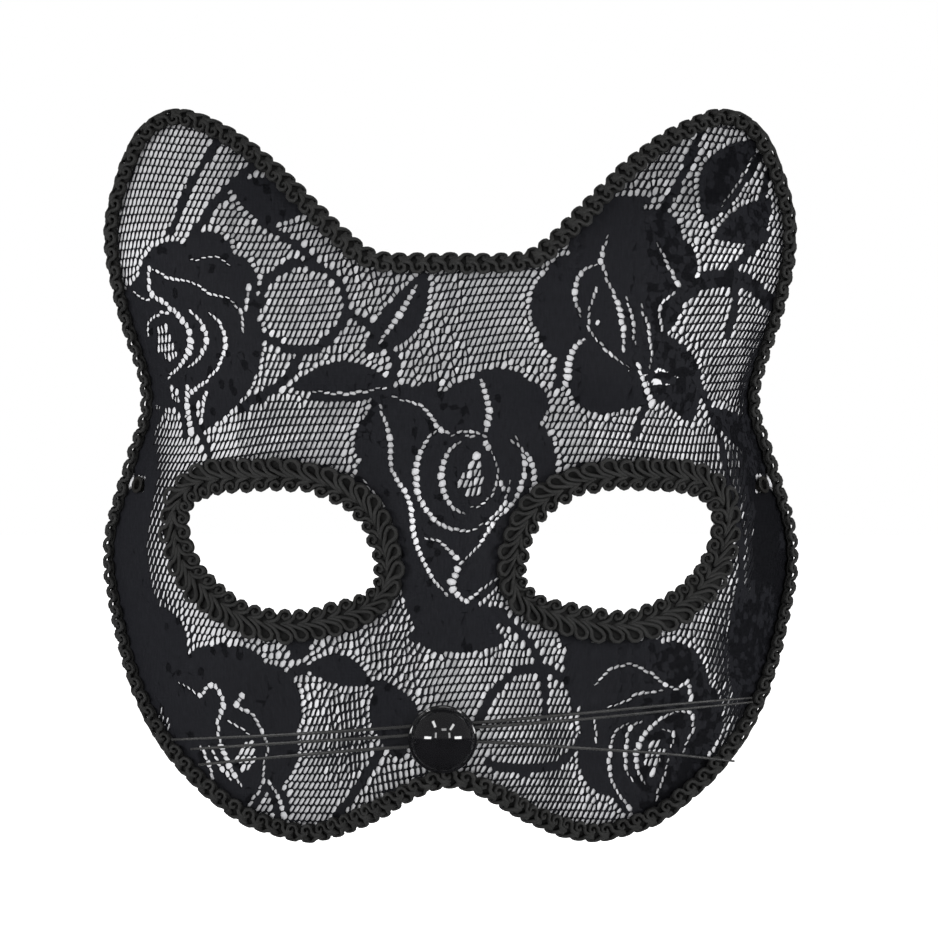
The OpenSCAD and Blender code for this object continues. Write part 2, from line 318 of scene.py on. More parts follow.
def ring_round(middle, way, radius, sides, turn=0.0):
    """Points of a ring about a way, turned by a share of the step between them."""
    out = np.cross(way, [0, 0, 1.0])
    out /= np.linalg.norm(out)
    up = np.cross(out, way)
    a = 2 * math.pi * (np.arange(sides)[:, None] + turn) / sides
    return middle + radius * (np.cos(a) * out + np.sin(a) * up)


def ways_along(points):
    """Unit vectors along a line of points."""
    way = np.gradient(points, axis=0)
    return way / np.linalg.norm(way, axis=1, keepdims=True)


def node(tree, kind, **settings):
    n = tree.nodes.new(kind)
    for key, value in settings.items():
        if key.startswith("in_"):
            n.inputs[key[3:].replace("_", " ")].default_value = value
        else:
            setattr(n, key, value)
    return n


def new_material(name, **shader):
    """A material with its Principled shader's constants set, and its node tree."""
    mat = bpy.data.materials.new(name)
    mat.use_nodes = True
    tree = mat.node_tree
    bsdf = tree.nodes["Principled BSDF"]
    for key, value in shader.items():
        bsdf.inputs[key.replace("_", " ")].default_value = value
    return mat, tree, bsdf


def add_bump(tree, bsdf, height, strength, distance):
    bump = node(tree, "ShaderNodeBump", in_Strength=strength, in_Distance=distance)
    tree.links.new(height, bump.inputs["Height"])
    tree.links.new(bump.outputs["Normal"], bsdf.inputs["Normal"])


def coordinates(tree, scale=(1, 1, 1), turn=(0, 0, 0)):
    tex = node(tree, "ShaderNodeTexCoord")
    mapping = node(tree, "ShaderNodeMapping")
    mapping.inputs["Scale"].default_value = scale
    mapping.inputs["Rotation"].default_value = turn
    tree.links.new(tex.outputs["Object"], mapping.inputs["Vector"])
    return mapping.outputs["Vector"]


def noise(tree, vector, scale, detail=2.0, roughness=0.5):
    n = node(tree, "ShaderNodeTexNoise", in_Scale=scale, in_Detail=detail,
             in_Roughness=roughness)
    tree.links.new(vector, n.inputs["Vector"])
    return n.outputs["Fac"]


def remap(tree, value, low, high):
    r = node(tree, "ShaderNodeMapRange")
    r.inputs["To Min"].default_value = low
    r.inputs["To Max"].default_value = high
    tree.links.new(value, r.inputs["Value"])
    return r.outputs["Result"]


def two_tone(tree, fac, dark, light):
    mix = node(tree, "ShaderNodeMix", data_type="RGBA")
    mix.inputs[6].default_value = (*dark, 1)
    mix.inputs[7].default_value = (*light, 1)
    tree.links.new(fac, mix.inputs[0])
    return mix.outputs[2]


def scaled_colour(colour, share):
    return tuple(min(1.0, c * share) for c in colour)


# ---------------------------------------------------------------------------
# Materials
# ---------------------------------------------------------------------------


def shell_material(colours):
    """Satin silver-grey formed plastic, with a faint cloudy finish and scuffs."""
    mat, tree, bsdf = new_material(
        "Satin silver plastic", Metallic=0.2, Specular_IOR_Level=0.5, Coat_Weight=0.1,
        Coat_Roughness=0.3,
    )
    where = coordinates(tree)
    clouds = noise(tree, where, 60, 4)
    grain = noise(tree, where, 2600, 3, 0.6)
    tone = two_tone(tree, clouds, scaled_colour(colours.shell, 0.9), colours.shell)
    tree.links.new(tone, bsdf.inputs["Base Color"])
    tree.links.new(remap(tree, noise(tree, where, 180, 5), 0.34, 0.48), bsdf.inputs["Roughness"])
    add_bump(tree, bsdf, grain, 0.15, 0.00006)
    return mat


def thread_material(colours):
    """Twisted black nylon thread of the net."""
    mat, tree, bsdf = new_material(
        "Black lace thread", Roughness=0.62, Specular_IOR_Level=0.08, Sheen_Weight=0.01,
        Sheen_Roughness=0.45,
    )
    where = coordinates(tree)
    tone = two_tone(tree, noise(tree, where, 420, 3), scaled_colour(colours.lace, 0.7),
                    scaled_colour(colours.lace, 1.5))
    tree.links.new(tone, bsdf.inputs["Base Color"])
    add_bump(tree, bsdf, noise(tree, where, 5200, 3), 0.5, 0.00008)
    return mat


def cloth_material(colours):
    """The close-worked flowers: threads that run up and down, with small gaps between."""
    mat, tree, bsdf = new_material(
        "Black lace flowers", Specular_IOR_Level=0.08, Sheen_Weight=0.01, Sheen_Roughness=0.4,
    )
    uv = node(tree, "ShaderNodeUVMap", uv_map="Cloth")
    stretch = node(tree, "ShaderNodeMapping")
    stretch.inputs["Scale"].default_value = (230, 34, 1)
    tree.links.new(uv.outputs["UV"], stretch.inputs["Vector"])
    threads = noise(tree, stretch.outputs["Vector"], 1, 3, 0.6)
    rows = node(tree, "ShaderNodeTexWave", wave_type="BANDS", bands_direction="Y",
                in_Scale=36, in_Distortion=3, in_Detail=2, in_Detail_Scale=4)
    tree.links.new(uv.outputs["UV"], rows.inputs["Vector"])
    both = node(tree, "ShaderNodeMath", operation="MULTIPLY_ADD")
    both.inputs[1].default_value = 0.35
    tree.links.new(rows.outputs["Fac"], both.inputs[0])
    tree.links.new(threads, both.inputs[2])
    tone = two_tone(tree, threads, scaled_colour(colours.lace, 0.6),
                    scaled_colour(colours.lace, 1.7))
    tree.links.new(tone, bsdf.inputs["Base Color"])
    tree.links.new(remap(tree, threads, 0.75, 0.5), bsdf.inputs["Roughness"])
    add_bump(tree, bsdf, both.outputs["Value"], 0.35, 0.00012)
    return mat


def cord_material(colours, name, share=1.0):
    """Rayon cord, wound round its core: fine ridges across the cord's own length."""
    mat, tree, bsdf = new_material(
        name, Specular_IOR_Level=0.22, Sheen_Weight=0.02, Sheen_Roughness=0.35,
    )
    uv = node(tree, "ShaderNodeUVMap", uv_map="Cord")
    wraps = node(tree, "ShaderNodeTexWave", wave_type="BANDS", bands_direction="DIAGONAL",
                 in_Scale=26, in_Distortion=1.2, in_Detail=2)
    tree.links.new(uv.outputs["UV"], wraps.inputs["Vector"])
    wear = noise(tree, coordinates(tree), 300, 3)
    # share scales the whole colour: the braids' woven band takes 0.4 of the cord's colour, a
    # darker copy of the same rayon that is painted shade in the gaps between the scrolls
    tone = two_tone(tree, wear, scaled_colour(colours.braid, 0.65 * share),
                    scaled_colour(colours.braid, 1.7 * share))
    tree.links.new(tone, bsdf.inputs["Base Color"])
    tree.links.new(remap(tree, wear, 0.5, 0.75), bsdf.inputs["Roughness"])
    add_bump(tree, bsdf, wraps.outputs["Fac"], 0.45, 0.00008)
    return mat


def polish_material(colours):
    """Polished black plastic with very faint handling marks."""
    mat, tree, bsdf = new_material(
        "Polished black plastic", Specular_IOR_Level=0.8, Coat_Weight=0.5, Coat_Roughness=0.03,
    )
    where = coordinates(tree)
    tone = two_tone(tree, noise(tree, where, 90, 3), scaled_colour(colours.nose, 0.8),
                    scaled_colour(colours.nose, 1.6))
    tree.links.new(tone, bsdf.inputs["Base Color"])
    tree.links.new(remap(tree, noise(tree, where, 900, 4), 0.03, 0.08), bsdf.inputs["Roughness"])
    add_bump(tree, bsdf, noise(tree, where, 220, 2), 0.04, 0.0001)
    return mat


def nylon_material(name, dark, light, clear=0.0):
    """Drawn nylon with slight draw lines."""
    mat, tree, bsdf = new_material(
        name, Specular_IOR_Level=0.35, Coat_Weight=0.1, Coat_Roughness=0.12,
        Subsurface_Weight=clear,
    )
    where = coordinates(tree, (1, 9, 9))
    tone = two_tone(tree, noise(tree, where, 120, 3), dark, light)
    tree.links.new(tone, bsdf.inputs["Base Color"])
    tree.links.new(remap(tree, noise(tree, where, 500, 3), 0.18, 0.36),
                   bsdf.inputs["Roughness"])
    add_bump(tree, bsdf, noise(tree, where, 900, 2), 0.2, 0.00004)
    return mat


def enamel_material():
    """Black enamel over brass, worn a little at its high spots."""
    mat, tree, bsdf = new_material("Black enamel", Specular_IOR_Level=0.25, Coat_Weight=0.1,
                                   Coat_Roughness=0.2)
    where = coordinates(tree)
    spots = noise(tree, where, 700, 4, 0.7)
    tone = two_tone(tree, spots, (0.004, 0.004, 0.004), (0.014, 0.013, 0.012))
    tree.links.new(tone, bsdf.inputs["Base Color"])
    tree.links.new(remap(tree, spots, 0.22, 0.45), bsdf.inputs["Roughness"])
    add_bump(tree, bsdf, spots, 0.15, 0.00005)
    return mat


# ---------------------------------------------------------------------------
# The shell
# ---------------------------------------------------------------------------

RIM_STEPS = 176
MIDDLE_STEPS = 48
SHELL_CUTS = 30
NOSE_AT = (-2.0, 27.4)
EYELET_AT = (80.5, 92.0)
SHANK_HOLE = 2.3
EYELET_HOLE = 1.8
# How far round a fitting hole faces are cleared, and within what reach its edge then lies
HOLE_CLEAR, HOLE_REACH = 1.2, 5.0


def eye_rays(targets):
    """Where lines from the middle of the eye to the targets cross the cut round the eye."""
    a = EYE_CUT[:-1] - EYE_MIDDLE
    d = np.diff(EYE_CUT, axis=0)
    way = targets - EYE_MIDDLE
    way /= np.linalg.norm(way, axis=1, keepdims=True)
    over = way[:, :1] * d[:, 1] - way[:, 1:] * d[:, 0]
    far = (a[:, 0] * d[:, 1] - a[:, 1] * d[:, 0]) / over
    share = (a[:, 0] * way[:, 1:] - a[:, 1] * way[:, :1]) / over
    far[(far < 0) | (share < 0) | (share >= 1)] = np.inf
    return EYE_MIDDLE + way * far.min(axis=1)[:, None]


def shell_targets():
    edge = evenly(SHELL_EDGE[: len(HALF_OUTLINE)], RIM_STEPS)
    middle = edge[-1] + (edge[0] - edge[-1]) * (np.arange(1, MIDDLE_STEPS) / MIDDLE_STEPS)[:, None]
    rim = np.vstack([edge, middle])
    rim[RIM_STEPS:, 0] = 0
    rim[0, 0] = 0
    return rim


def open_hole(bm, at, radius):
    """Cuts a round hole through a sheet in flat x and z, with its edge on the circle."""
    middle = Vector((at[0], 0, at[1]))
    near = [f for f in bm.faces if (f.calc_center_median() - middle).length < radius + HOLE_CLEAR]
    bmesh.ops.delete(bm, geom=near, context="FACES")
    ring = [e for e in bm.edges if e.is_boundary
            and max((v.co - middle).length for v in e.verts) < radius + HOLE_REACH]
    for v in new_verts(bmesh.ops.extrude_edge_only(bm, edges=ring)["geom"]):
        v.co = middle + (v.co - middle).normalized() * radius


class MASK_OT_shell(bpy.types.Operator):
    """Form the plastic shell, with its eye holes and fitting holes"""

    bl_idname = "mask.shell"
    bl_label = "Shell"

    def execute(self, context):
        sizes = context.scene.mask_sizes
        rim = shell_targets()
        eye = eye_rays(rim)
        bm = bmesh.new()
        bmesh.ops.create_circle(bm, segments=len(rim), radius=1)
        bm.verts.ensure_lookup_table()
        inner = list(bm.verts)
        outer = set(new_verts(bmesh.ops.extrude_edge_only(bm, edges=bm.edges[:])["geom"]))
        spokes = []
        for k, v in enumerate(inner):
            spoke = next(e for e in v.link_edges if e.other_vert(v) in outer)
            spoke.other_vert(v).co = (rim[k][0], 0, rim[k][1])
            v.co = (eye[k][0], 0, eye[k][1])
            spokes.append(spoke)
        bmesh.ops.subdivide_edges(bm, edges=spokes, cuts=SHELL_CUTS, use_grid_fill=True)
        open_hole(bm, EYELET_AT, EYELET_HOLE)
        bmesh.ops.mirror(bm, geom=bm.verts[:] + bm.edges[:] + bm.faces[:], merge_dist=1e-4,
                         axis="X")
        open_hole(bm, NOSE_AT, SHANK_HOLE)
        flat = positions(bm)
        set_positions(bm, place(skin(flat[:, 0], flat[:, 2])))
        bmesh.ops.recalc_face_normals(bm, faces=bm.faces[:])
        if sum(f.normal.y * f.calc_area() for f in bm.faces) > 0:
            bmesh.ops.reverse_faces(bm, faces=bm.faces[:])
        obj = new_piece("formed_shell", bm, shell_material(context.scene.mask_colours))
        wall = obj.modifiers.new("Wall", "SOLIDIFY")
        wall.thickness = sizes.shell_thickness
        wall.offset = -1
        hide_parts("mask_shell")
        return {"FINISHED"}


# ---------------------------------------------------------------------------
# The lace: a hexagonal net with roses, leaves and vines worked solid in it
# ---------------------------------------------------------------------------

SWEEP_X = np.linspace(-92, 92, 369)
SWEEP_Z = np.linspace(-4, 194, 100)


def cloth_table():
    """Distance along the skin from the middle plane, for each height."""
    x, z = np.meshgrid(SWEEP_X, SWEEP_Z)
    y = depth(x, z)
    steps = np.hypot(np.diff(x, axis=1), np.diff(y, axis=1))
    run = np.hstack([np.zeros((len(SWEEP_Z), 1)), np.cumsum(steps, axis=1)])
    return run - run[:, len(SWEEP_X) // 2][:, None]


CLOTH = cloth_table()


def sweep_place(values, marks):
    """Number of the mark at or below each value, and the share of the step past it."""
    at = np.clip((values - marks[0]) / (marks[1] - marks[0]), 0, len(marks) - 1.001)
    return at.astype(int), at % 1


def to_cloth(points):
    """Front-view x and z to the cloth's own u and v."""
    x, z = np.asarray(points, float).T
    r, fr = sweep_place(z, SWEEP_Z)
    c, fc = sweep_place(x, SWEEP_X)
    u = (CLOTH[r, c] * (1 - fr) * (1 - fc) + CLOTH[r, c + 1] * (1 - fr) * fc
         + CLOTH[r + 1, c] * fr * (1 - fc) + CLOTH[r + 1, c + 1] * fr * fc)
    return np.stack([u, z], 1)


def from_cloth(points):
    """The cloth's u and v back to front-view x and z."""
    u, z = np.asarray(points, float).T
    low, share = sweep_place(z, SWEEP_Z)
    x = np.array([
        np.interp(d, CLOTH[r] * (1 - s) + CLOTH[r + 1] * s, SWEEP_X)
        for d, r, s in zip(u, low, share)
    ])
    return np.stack([x, z], 1)


def inside(points, ring):
    """Which points lie inside a closed ring."""
    x, y = points[:, :1], points[:, 1:]
    a, b = ring, np.roll(ring, -1, 0)
    spans = (a[:, 1] > y) != (b[:, 1] > y)
    rise = np.where(b[:, 1] == a[:, 1], 1e-9, b[:, 1] - a[:, 1])
    at = a[:, 0] + (y - a[:, 1]) * (b[:, 0] - a[:, 0]) / rise
    return (np.sum(spans & (x < at), axis=1) % 2).astype(bool)


def reach(points, line):
    """Distance from each point to the nearest mark of a densely marked line."""
    out = np.full(len(points), np.inf)
    for part in np.array_split(line, max(1, len(line) // 64)):
        gap = np.hypot(points[:, :1] - part[:, 0], points[:, 1:] - part[:, 1])
        out = np.minimum(out, gap.min(axis=1))
    return out


def bloom(cx, cz, rx, rz, lobes, turn=0.0, ruffle=0.13, lean=0.0):
    """Outline of a rose: rounded petals round a middle."""
    a = np.linspace(0, 2 * math.pi, 73)[:-1]
    k = lobes * (a - turn) / 2
    r = 1 - ruffle + ruffle * np.abs(np.cos(k)) ** 0.6 + 0.05 * np.sin(2 * a + turn)
    x, z = rx * r * np.cos(a), rz * r * np.sin(a)
    return np.stack([cx + x + lean * z, cz + z], 1)


def leaf(ax, az, bx, bz, width, bend=0.0, fat=0.42):
    """Outline of a leaf from its stem at a to its tip at b, bent to its left."""
    a, b = np.array([ax, az], float), np.array([bx, bz], float)
    side = np.array([-(b - a)[1], (b - a)[0]]) / np.linalg.norm(b - a)
    t = np.linspace(0, 1, 19)[:, None]
    middle = a + (b - a) * t + side * bend * 4 * t * (1 - t)
    half = width / 2 * np.sin(math.pi * t ** (0.7 + 0.6 * fat)) ** 0.85
    return np.vstack([middle + side * half, (middle - side * half)[-2:0:-1]])


def spiral(cx, cz, rx, rz, start, stop, out=0.0, wide=1.6, ends=0.35, peak=0.5):
    """A gap that runs round a rose's middle, from start to stop in degrees."""
    n = max(6, int(abs(stop - start) / 8))
    t = np.linspace(0, 1, n)
    a = np.radians(start + (stop - start) * t)
    grow = 1 + out * t
    swell = np.where(t < peak, t / peak, (1 - t) / (1 - peak))
    w = ends + (wide - ends) * swell**0.8
    return np.stack([cx + rx * grow * np.cos(a), cz + rz * grow * np.sin(a), w], 1)


def gap(marks, *widths):
    """A gap along a smooth line through the marks, with its width at even shares of it."""
    line = spline(marks, 8)
    t = np.linspace(0, 1, len(line))
    w = np.interp(t, np.linspace(0, 1, len(widths)), widths)
    return np.column_stack([line, w])


def design():
    """The lace's solid shapes, its vines as lines with widths, and the gaps in the shapes."""
    solids, vines, gaps = [], [], []

    # Middle rose, over the bridge
    solids += [bloom(1.5, 92, 25.5, 28, 7, 0.35, 0.15), bloom(-10, 104, 14, 15, 5, 0.8),
               bloom(11, 112, 14, 10, 5, 0.2), bloom(0, 74, 15, 14, 4, 0.5)]
    gaps += [
        spiral(4.5, 94.5, 6.5, 9, 110, 262, 0.10, 1.9, 0.5),
        spiral(5, 94.5, 6.6, 8.2, 275, 400, 0.12, 0.7, 0.3),
        spiral(4.5, 95, 8.5, 11, 60, 115, 0.0, 0.8, 0.4),
        spiral(3, 95, 11.5, 13.5, 128, 285, 0.10, 2.0, 0.4, 0.35),
        spiral(4, 95, 11.5, 14, 290, 350, 0.0, 1.0, 0.4),
        spiral(2, 96, 16.5, 15.5, -70, 30, 0.05, 1.3, 0.4, 0.6),
        gap([(8, 119), (10, 111), (9, 104), (12, 96), (13.5, 88), (9, 79), (3, 72)],
            1.2, 1.8, 1.7, 1.9, 1.6, 1.0, 0.5),
        gap([(-18, 112), (-15.5, 104), (-15, 96), (-10.5, 88), (-9, 78), (-5, 69), (-1, 64)],
            0.6, 1.5, 1.1, 1.7, 1.8, 1.2, 0.5),
        gap([(-14, 114.5), (-7, 112), (-2, 106), (4, 104.5), (9, 105)], 0.4, 0.9, 1.2, 0.6, 0.9),
        gap([(-6, 78.5), (-2, 77), (2, 72), (0.5, 66), (4, 62)], 0.4, 0.8, 1.5, 2.0, 1.2),
        gap([(16, 103), (20.5, 99), (21.5, 92), (19, 86)], 0.5, 1.2, 1.6, 0.5),
        gap([(4, 62), (9, 66), (14, 70)], 0.9, 0.8, 0.4),
        gap([(-22, 93), (-18, 88), (-15, 82)], 0.5, 0.8, 0.4),
    ]
    hearts = [(5.2, 94.6, 3.4, 5.8)]

    # Rose on the left ear, its petals nested round a heart at its left
    solids += [bloom(-68, 137, 18, 21, 7, 0.4, 0.16, 0.08), leaf(-52, 142, -64, 106, 11, 3),
               leaf(-84, 132, -72, 112, 10, -2)]
    gaps += [
        gap([(-78, 148), (-77.5, 142), (-73, 138.5), (-69.5, 135), (-67.5, 131), (-67.5, 127),
             (-69.5, 123.5), (-73, 120)], 1.2, 1.6, 1.5, 2.0, 2.6, 2.4, 1.4, 0.5),
        gap([(-66.5, 136.5), (-64, 133.5), (-63, 129.5), (-64.5, 125.5), (-67.5, 122.5)],
            0.5, 1.4, 1.7, 1.1, 0.4),
        gap([(-62, 136.5), (-59, 133), (-58, 128.5), (-59.5, 123.5), (-62.5, 119.5), (-67, 116)],
            0.4, 1.1, 1.4, 0.9, 0.6, 1.5),
        gap([(-77, 148), (-72.5, 145.5), (-67, 144.5), (-62, 141.5), (-57, 140), (-54, 136.5),
             (-53.5, 132)], 0.4, 0.9, 0.4, 0.7, 0.3, 0.9, 0.8),
        gap([(-67, 150), (-61, 151), (-57, 149)], 0.3, 0.4, 0.3),
        gap([(-72, 136.5), (-75, 136.5), (-78, 134.5), (-78.5, 131)], 0.6, 0.8, 0.6, 0.8),
        gap([(-82, 142), (-79, 140), (-76, 141)], 0.5, 0.5, 0.3),
        gap([(-52, 143), (-52.5, 138), (-53, 134)], 1.3, 0.8, 0.5),
        gap([(-68, 117), (-68, 112), (-67, 106)], 1.8, 2.2, 2.4),
    ]
    hearts.append((-73.5, 128, 3.4, 4.8))
    # Rose on the right ear, its petals hanging to the right of its heart
    solids += [bloom(46, 145, 17, 19, 7, 0.2, 0.16, 0.1), bloom(31, 138, 10, 14, 5, 0.5),
               bloom(42, 121, 13, 11, 5, 0.5), leaf(50, 132, 62, 108, 13, 2)]
    gaps += [
        gap([(40.5, 156), (39, 151), (40, 146), (42, 141.5), (43.5, 137.5), (44.5, 132.5),
             (44.5, 127.5)], 0.4, 1.3, 0.7, 0.9, 1.6, 1.6, 0.7),
        gap([(45.5, 140), (47, 134.5), (47.5, 128.5)], 0.4, 1.0, 0.5),
        gap([(49.5, 138), (51, 132.5), (51.7, 127), (51.5, 122.5)], 0.3, 1.0, 0.8, 0.4),
        gap([(37.5, 149), (33.5, 146.5), (32, 141), (33.5, 135.5)], 0.4, 1.2, 1.5, 0.5),
        gap([(37.5, 142.5), (36, 137.5), (35.5, 133), (37.5, 129.5)], 0.9, 0.5, 1.0, 0.4),
        gap([(35.5, 130.5), (32, 127.5), (30.5, 123.5), (30, 118)], 0.6, 1.6, 2.0, 2.4),
        gap([(37.5, 129.5), (41, 126), (45.5, 122.5)], 0.5, 0.9, 0.3),
        gap([(57.5, 141.5), (54, 138), (54.5, 132.5)], 0.6, 0.9, 0.8),
        gap([(53.5, 154), (56, 149), (58.5, 144)], 0.4, 0.9, 1.2),
        gap([(48.5, 122.5), (50, 118), (52, 113)], 0.8, 1.6, 2.4),
    ]
    hearts.append((39, 134.5, 3.0, 4.6))
    # Roses on the lower lobes
    solids += [bloom(-56, 29, 18, 22, 6, 0.5, 0.15), bloom(-62, 40, 14, 11, 5, 0.1)]
    gaps += [
        gap([(-64.5, 37.5), (-62, 40.5), (-59.5, 39), (-58.5, 35), (-60, 31), (-59.5, 26)],
            1.0, 1.2, 1.4, 1.5, 1.0, 0.8),
        gap([(-53.5, 38), (-55, 35), (-51, 33), (-48.5, 29), (-47, 24.5), (-48, 20), (-48.5, 15),
             (-51.5, 10)], 1.6, 0.9, 0.8, 1.2, 0.8, 0.6, 0.9, 0.9),
        gap([(-64.5, 24.5), (-62.5, 20.5), (-61.5, 17)], 0.8, 1.2, 0.9),
        gap([(-62, 24.5), (-59.5, 20), (-57, 16)], 0.4, 0.8, 0.6),
        gap([(-59, 24.5), (-57, 20), (-54, 14.5)], 1.6, 1.3, 0.5),
        gap([(-46.5, 15.5), (-44, 11), (-43, 7)], 0.7, 1.3, 1.5),
        gap([(-70, 41), (-67, 39.5), (-65, 37.5)], 0.3, 0.6, 0.4),
        gap([(-58.5, 32), (-55, 30), (-52, 28)], 0.4, 0.6, 0.4),
    ]
    hearts.append((-52.5, 22, 2.6, 4.2))
    solids += [bloom(51, 30, 19, 23, 7, 0.1, 0.14), bloom(45, 44, 15, 10, 5, 0.6)]
    gaps += [
        gap([(37.5, 41), (41, 44.5), (46, 46), (51, 44), (55, 41), (58.5, 39.5), (61, 41.5),
             (62, 37.5)], 0.5, 0.8, 0.6, 0.8, 0.7, 0.8, 1.2, 1.4),
        gap([(41, 35), (45, 36.5), (48.5, 38.5), (54, 39)], 0.4, 0.6, 1.0, 0.4),
        gap([(57, 33.5), (53, 31), (50, 28), (48, 24), (48, 19.5), (50, 15)],
            0.7, 1.3, 1.5, 1.8, 1.4, 0.5),
        gap([(49, 31.5), (46, 29), (45, 24), (45, 19.5), (46.5, 16.5)], 0.5, 1.0, 1.1, 0.9, 0.3),
        gap([(45.5, 31), (42, 28), (41, 23), (41, 18), (43, 13), (46, 9)],
            0.5, 0.8, 1.4, 1.4, 0.6, 1.2),
        gap([(58.5, 34), (62, 33), (62.5, 29), (60, 24)], 0.5, 0.9, 1.2, 0.5),
        gap([(55, 29), (57.5, 28), (57, 24.5)], 0.3, 0.9, 0.5),
        gap([(56, 21), (55, 17), (53, 11.5)], 0.4, 0.7, 0.8),
        gap([(37, 31.5), (37.5, 26.5)], 0.8, 0.8),
    ]
    hearts.append((52.5, 22, 3.0, 4.2))

    # Leaves and single petals
    solids += [
        leaf(-14, 117, -41, 117, 8.5, -2.5),
        leaf(-22, 126, -6, 147, 9.5, -2),
        leaf(-37, 45, -20, 41, 7.5, 1.6),
        leaf(-18, 42, -13, 22, 12, 1.5),
        leaf(-46, 57, -38, 47, 4.5, 0.8),
        leaf(-35, 58, -38, 48, 4, -0.6),
        leaf(-12, 64, 14, 52, 13, -2),
        leaf(14, 60, -11, 53, 11, 2),
        leaf(75, 68, 73, 38, 6, 1),
        leaf(81, 62, 78, 40, 4.5, 1),
        leaf(66, 112, 84, 96, 7, 1.5),
        leaf(-36, 164, -57, 170, 11, 1.5),
        leaf(66, 160, 80, 182, 11, 2.5),
        leaf(83, 166, 68, 156, 9, 2),
        leaf(27, 57, 36, 45, 6, 1),
        leaf(30, 152, 52, 166, 9, 2),
        leaf(-80, 62, -69, 44, 9, 1.5),
        leaf(-88, 96, -74, 112, 6, 1),
    ]
    gaps += [
        gap([(-18, 129), (-13, 136), (-9, 143)], 0.8, 1.9, 1.0),
        gap([(-17, 117), (-26, 115.5), (-35, 116)], 0.4, 1.0, 0.4),
        gap([(70, 164), (75, 171), (79, 178)], 0.3, 0.8, 0.3),
    ]

    # Vines
    vines += [
        gap([(-50, 137), (-46, 146), (-38, 149), (-29, 145), (-27, 136), (-33, 128), (-41, 127),
             (-49, 131)], 1.5, 1.3, 1.5),
        gap([(-27, 137), (-19, 131), (-14, 124), (-16, 117)], 1.4, 1.6),
        gap([(-49, 160), (-40, 154), (-31, 146)], 1.6, 1.2),
        gap([(-54, 112), (-44, 118), (-38, 126)], 1.3, 1.6),
        gap([(-57, 186), (-66, 172), (-72, 158)], 1.1, 1.3, 1.1),
        gap([(-48, 178), (-60, 166), (-66, 157)], 1.0, 1.2),
        gap([(58, 141), (64, 145), (72, 146.5), (79, 144), (85, 138)], 1.6, 2.0, 1.5),
        gap([(59, 139.5), (65, 143.4), (72, 144.8), (78, 142.6), (83, 138)], 1.6, 2.0, 1.5),
        gap([(71, 147), (76, 151), (82, 157)], 1.6, 2.0),
        gap([(73, 144), (73.5, 138), (71.5, 131)], 1.4, 1.2),
        gap([(60, 126), (66, 114), (70, 102), (72, 92)], 1.7, 1.9, 1.5),
        gap([(56, 120), (50, 112), (47, 104)], 1.3, 1.5),
        gap([(66, 186), (60, 172), (54, 162)], 1.0, 1.3),
        gap([(84, 178), (80, 164), (76, 152)], 1.0, 1.3),
        gap([(7, 31), (11, 39), (18, 44.5), (26, 44), (33, 38), (34, 28), (28, 21), (19, 19),
             (10, 21)], 1.3, 1.6, 1.4, 1.5),
        gap([(13, 58), (20, 52), (24, 42), (24, 32)], 1.6, 1.9, 1.4),
        gap([(-38, 45), (-46, 41), (-52, 37)], 1.3, 1.4),
        gap([(-20, 41), (-17, 41)], 1.0, 1.0),
        gap([(36, 56), (30, 46), (32, 34)], 1.3, 1.5),
        gap([(-38, 60), (-42, 54), (-40, 48)], 1.4, 1.6),
        gap([(-75, 116), (-66, 108), (-62, 98), (-66, 92)], 1.4, 1.6, 1.3),
        gap([(-86, 84), (-80, 72), (-76, 60)], 1.4, 1.5),
        gap([(-18, 24), (-24, 14), (-30, 6)], 1.3, 1.4),
        gap([(72, 92), (75, 80), (75, 66)], 1.5, 1.7),
    ]
    return solids, vines, gaps, hearts


NET_REACH = 118.0
NET_LOW, NET_TALL = -24, 240
# How far the net's columns and rows lean, in millimetres a millimetre, and their shift
COLUMN_LEAN, ROW_LEAN, COLUMN_SHIFT = 0.16, 0.05, 12
CELL_SCATTER, HOLE_SCATTER = 0.05, 0.04
# Least distance between cell middles, their steps along gaps and edges, and the distance of
# the two rows that follow an edge
SEED_GAP, LINE_STEP, EDGE_STEP, EDGE_OFF = 1.14, 1.6, 1.5, 0.8
WALK_STEPS = 400
# Share of a cell that its hole takes up, and how far the hole leans
HOLE_WIDE, HOLE_TALL, HOLE_LEAN = 0.66, 0.88, 0.32


def lattice(pitch, row, rng):
    """Middles of the net's cells in the cloth: rows shifted by half a cell, slightly drawn."""
    bm = bmesh.new()
    cols, rows = int(2 * NET_REACH / pitch), int(NET_TALL / row)
    bmesh.ops.create_grid(bm, x_segments=cols, y_segments=rows, size=1)
    i, j = grid_numbers(bm, cols, rows)
    bm.free()
    u = (i + 0.5 * (j % 2)) * pitch - NET_REACH
    v = j * row + NET_LOW
    u = u + COLUMN_LEAN * v + 2.2 * np.sin(v / 31 + u / 47) - COLUMN_SHIFT
    v = v + ROW_LEAN * u + 2.0 * np.sin(u / 27 + 0.4) + 1.0 * np.sin(u / 11 + v / 19)
    return np.stack([u, v], 1) + rng.normal(0, CELL_SCATTER, (len(u), 2))


def gap_holes(ways, widths):
    """Each gap cell's hole as a 2 by 2 matrix: nearly whole along the gap, its width across."""
    along = np.clip(0.45 + 0.55 * widths, 0.5, 0.9)
    across = np.clip(widths / SEED_GAP, 0.2, 1) * 0.92
    sides = np.stack([ways[:, 1], -ways[:, 0]], 1)
    return (along[:, None, None] * ways[:, :, None] * ways[:, None, :]
            + across[:, None, None] * sides[:, :, None] * sides[:, None, :])


def closed(count):
    return np.zeros((count, 2, 2))


def net_holes(shut, rng):
    """Holes of the net's cells: leaning, a little uneven, and none where the cell is shut."""
    holes = closed(len(shut))
    uneven = 1 + rng.normal(0, HOLE_SCATTER, len(shut))
    holes[:, 0, 0], holes[:, 0, 1] = HOLE_WIDE * uneven, HOLE_LEAN
    holes[:, 1, 1] = HOLE_TALL
    holes[shut] = 0
    return holes


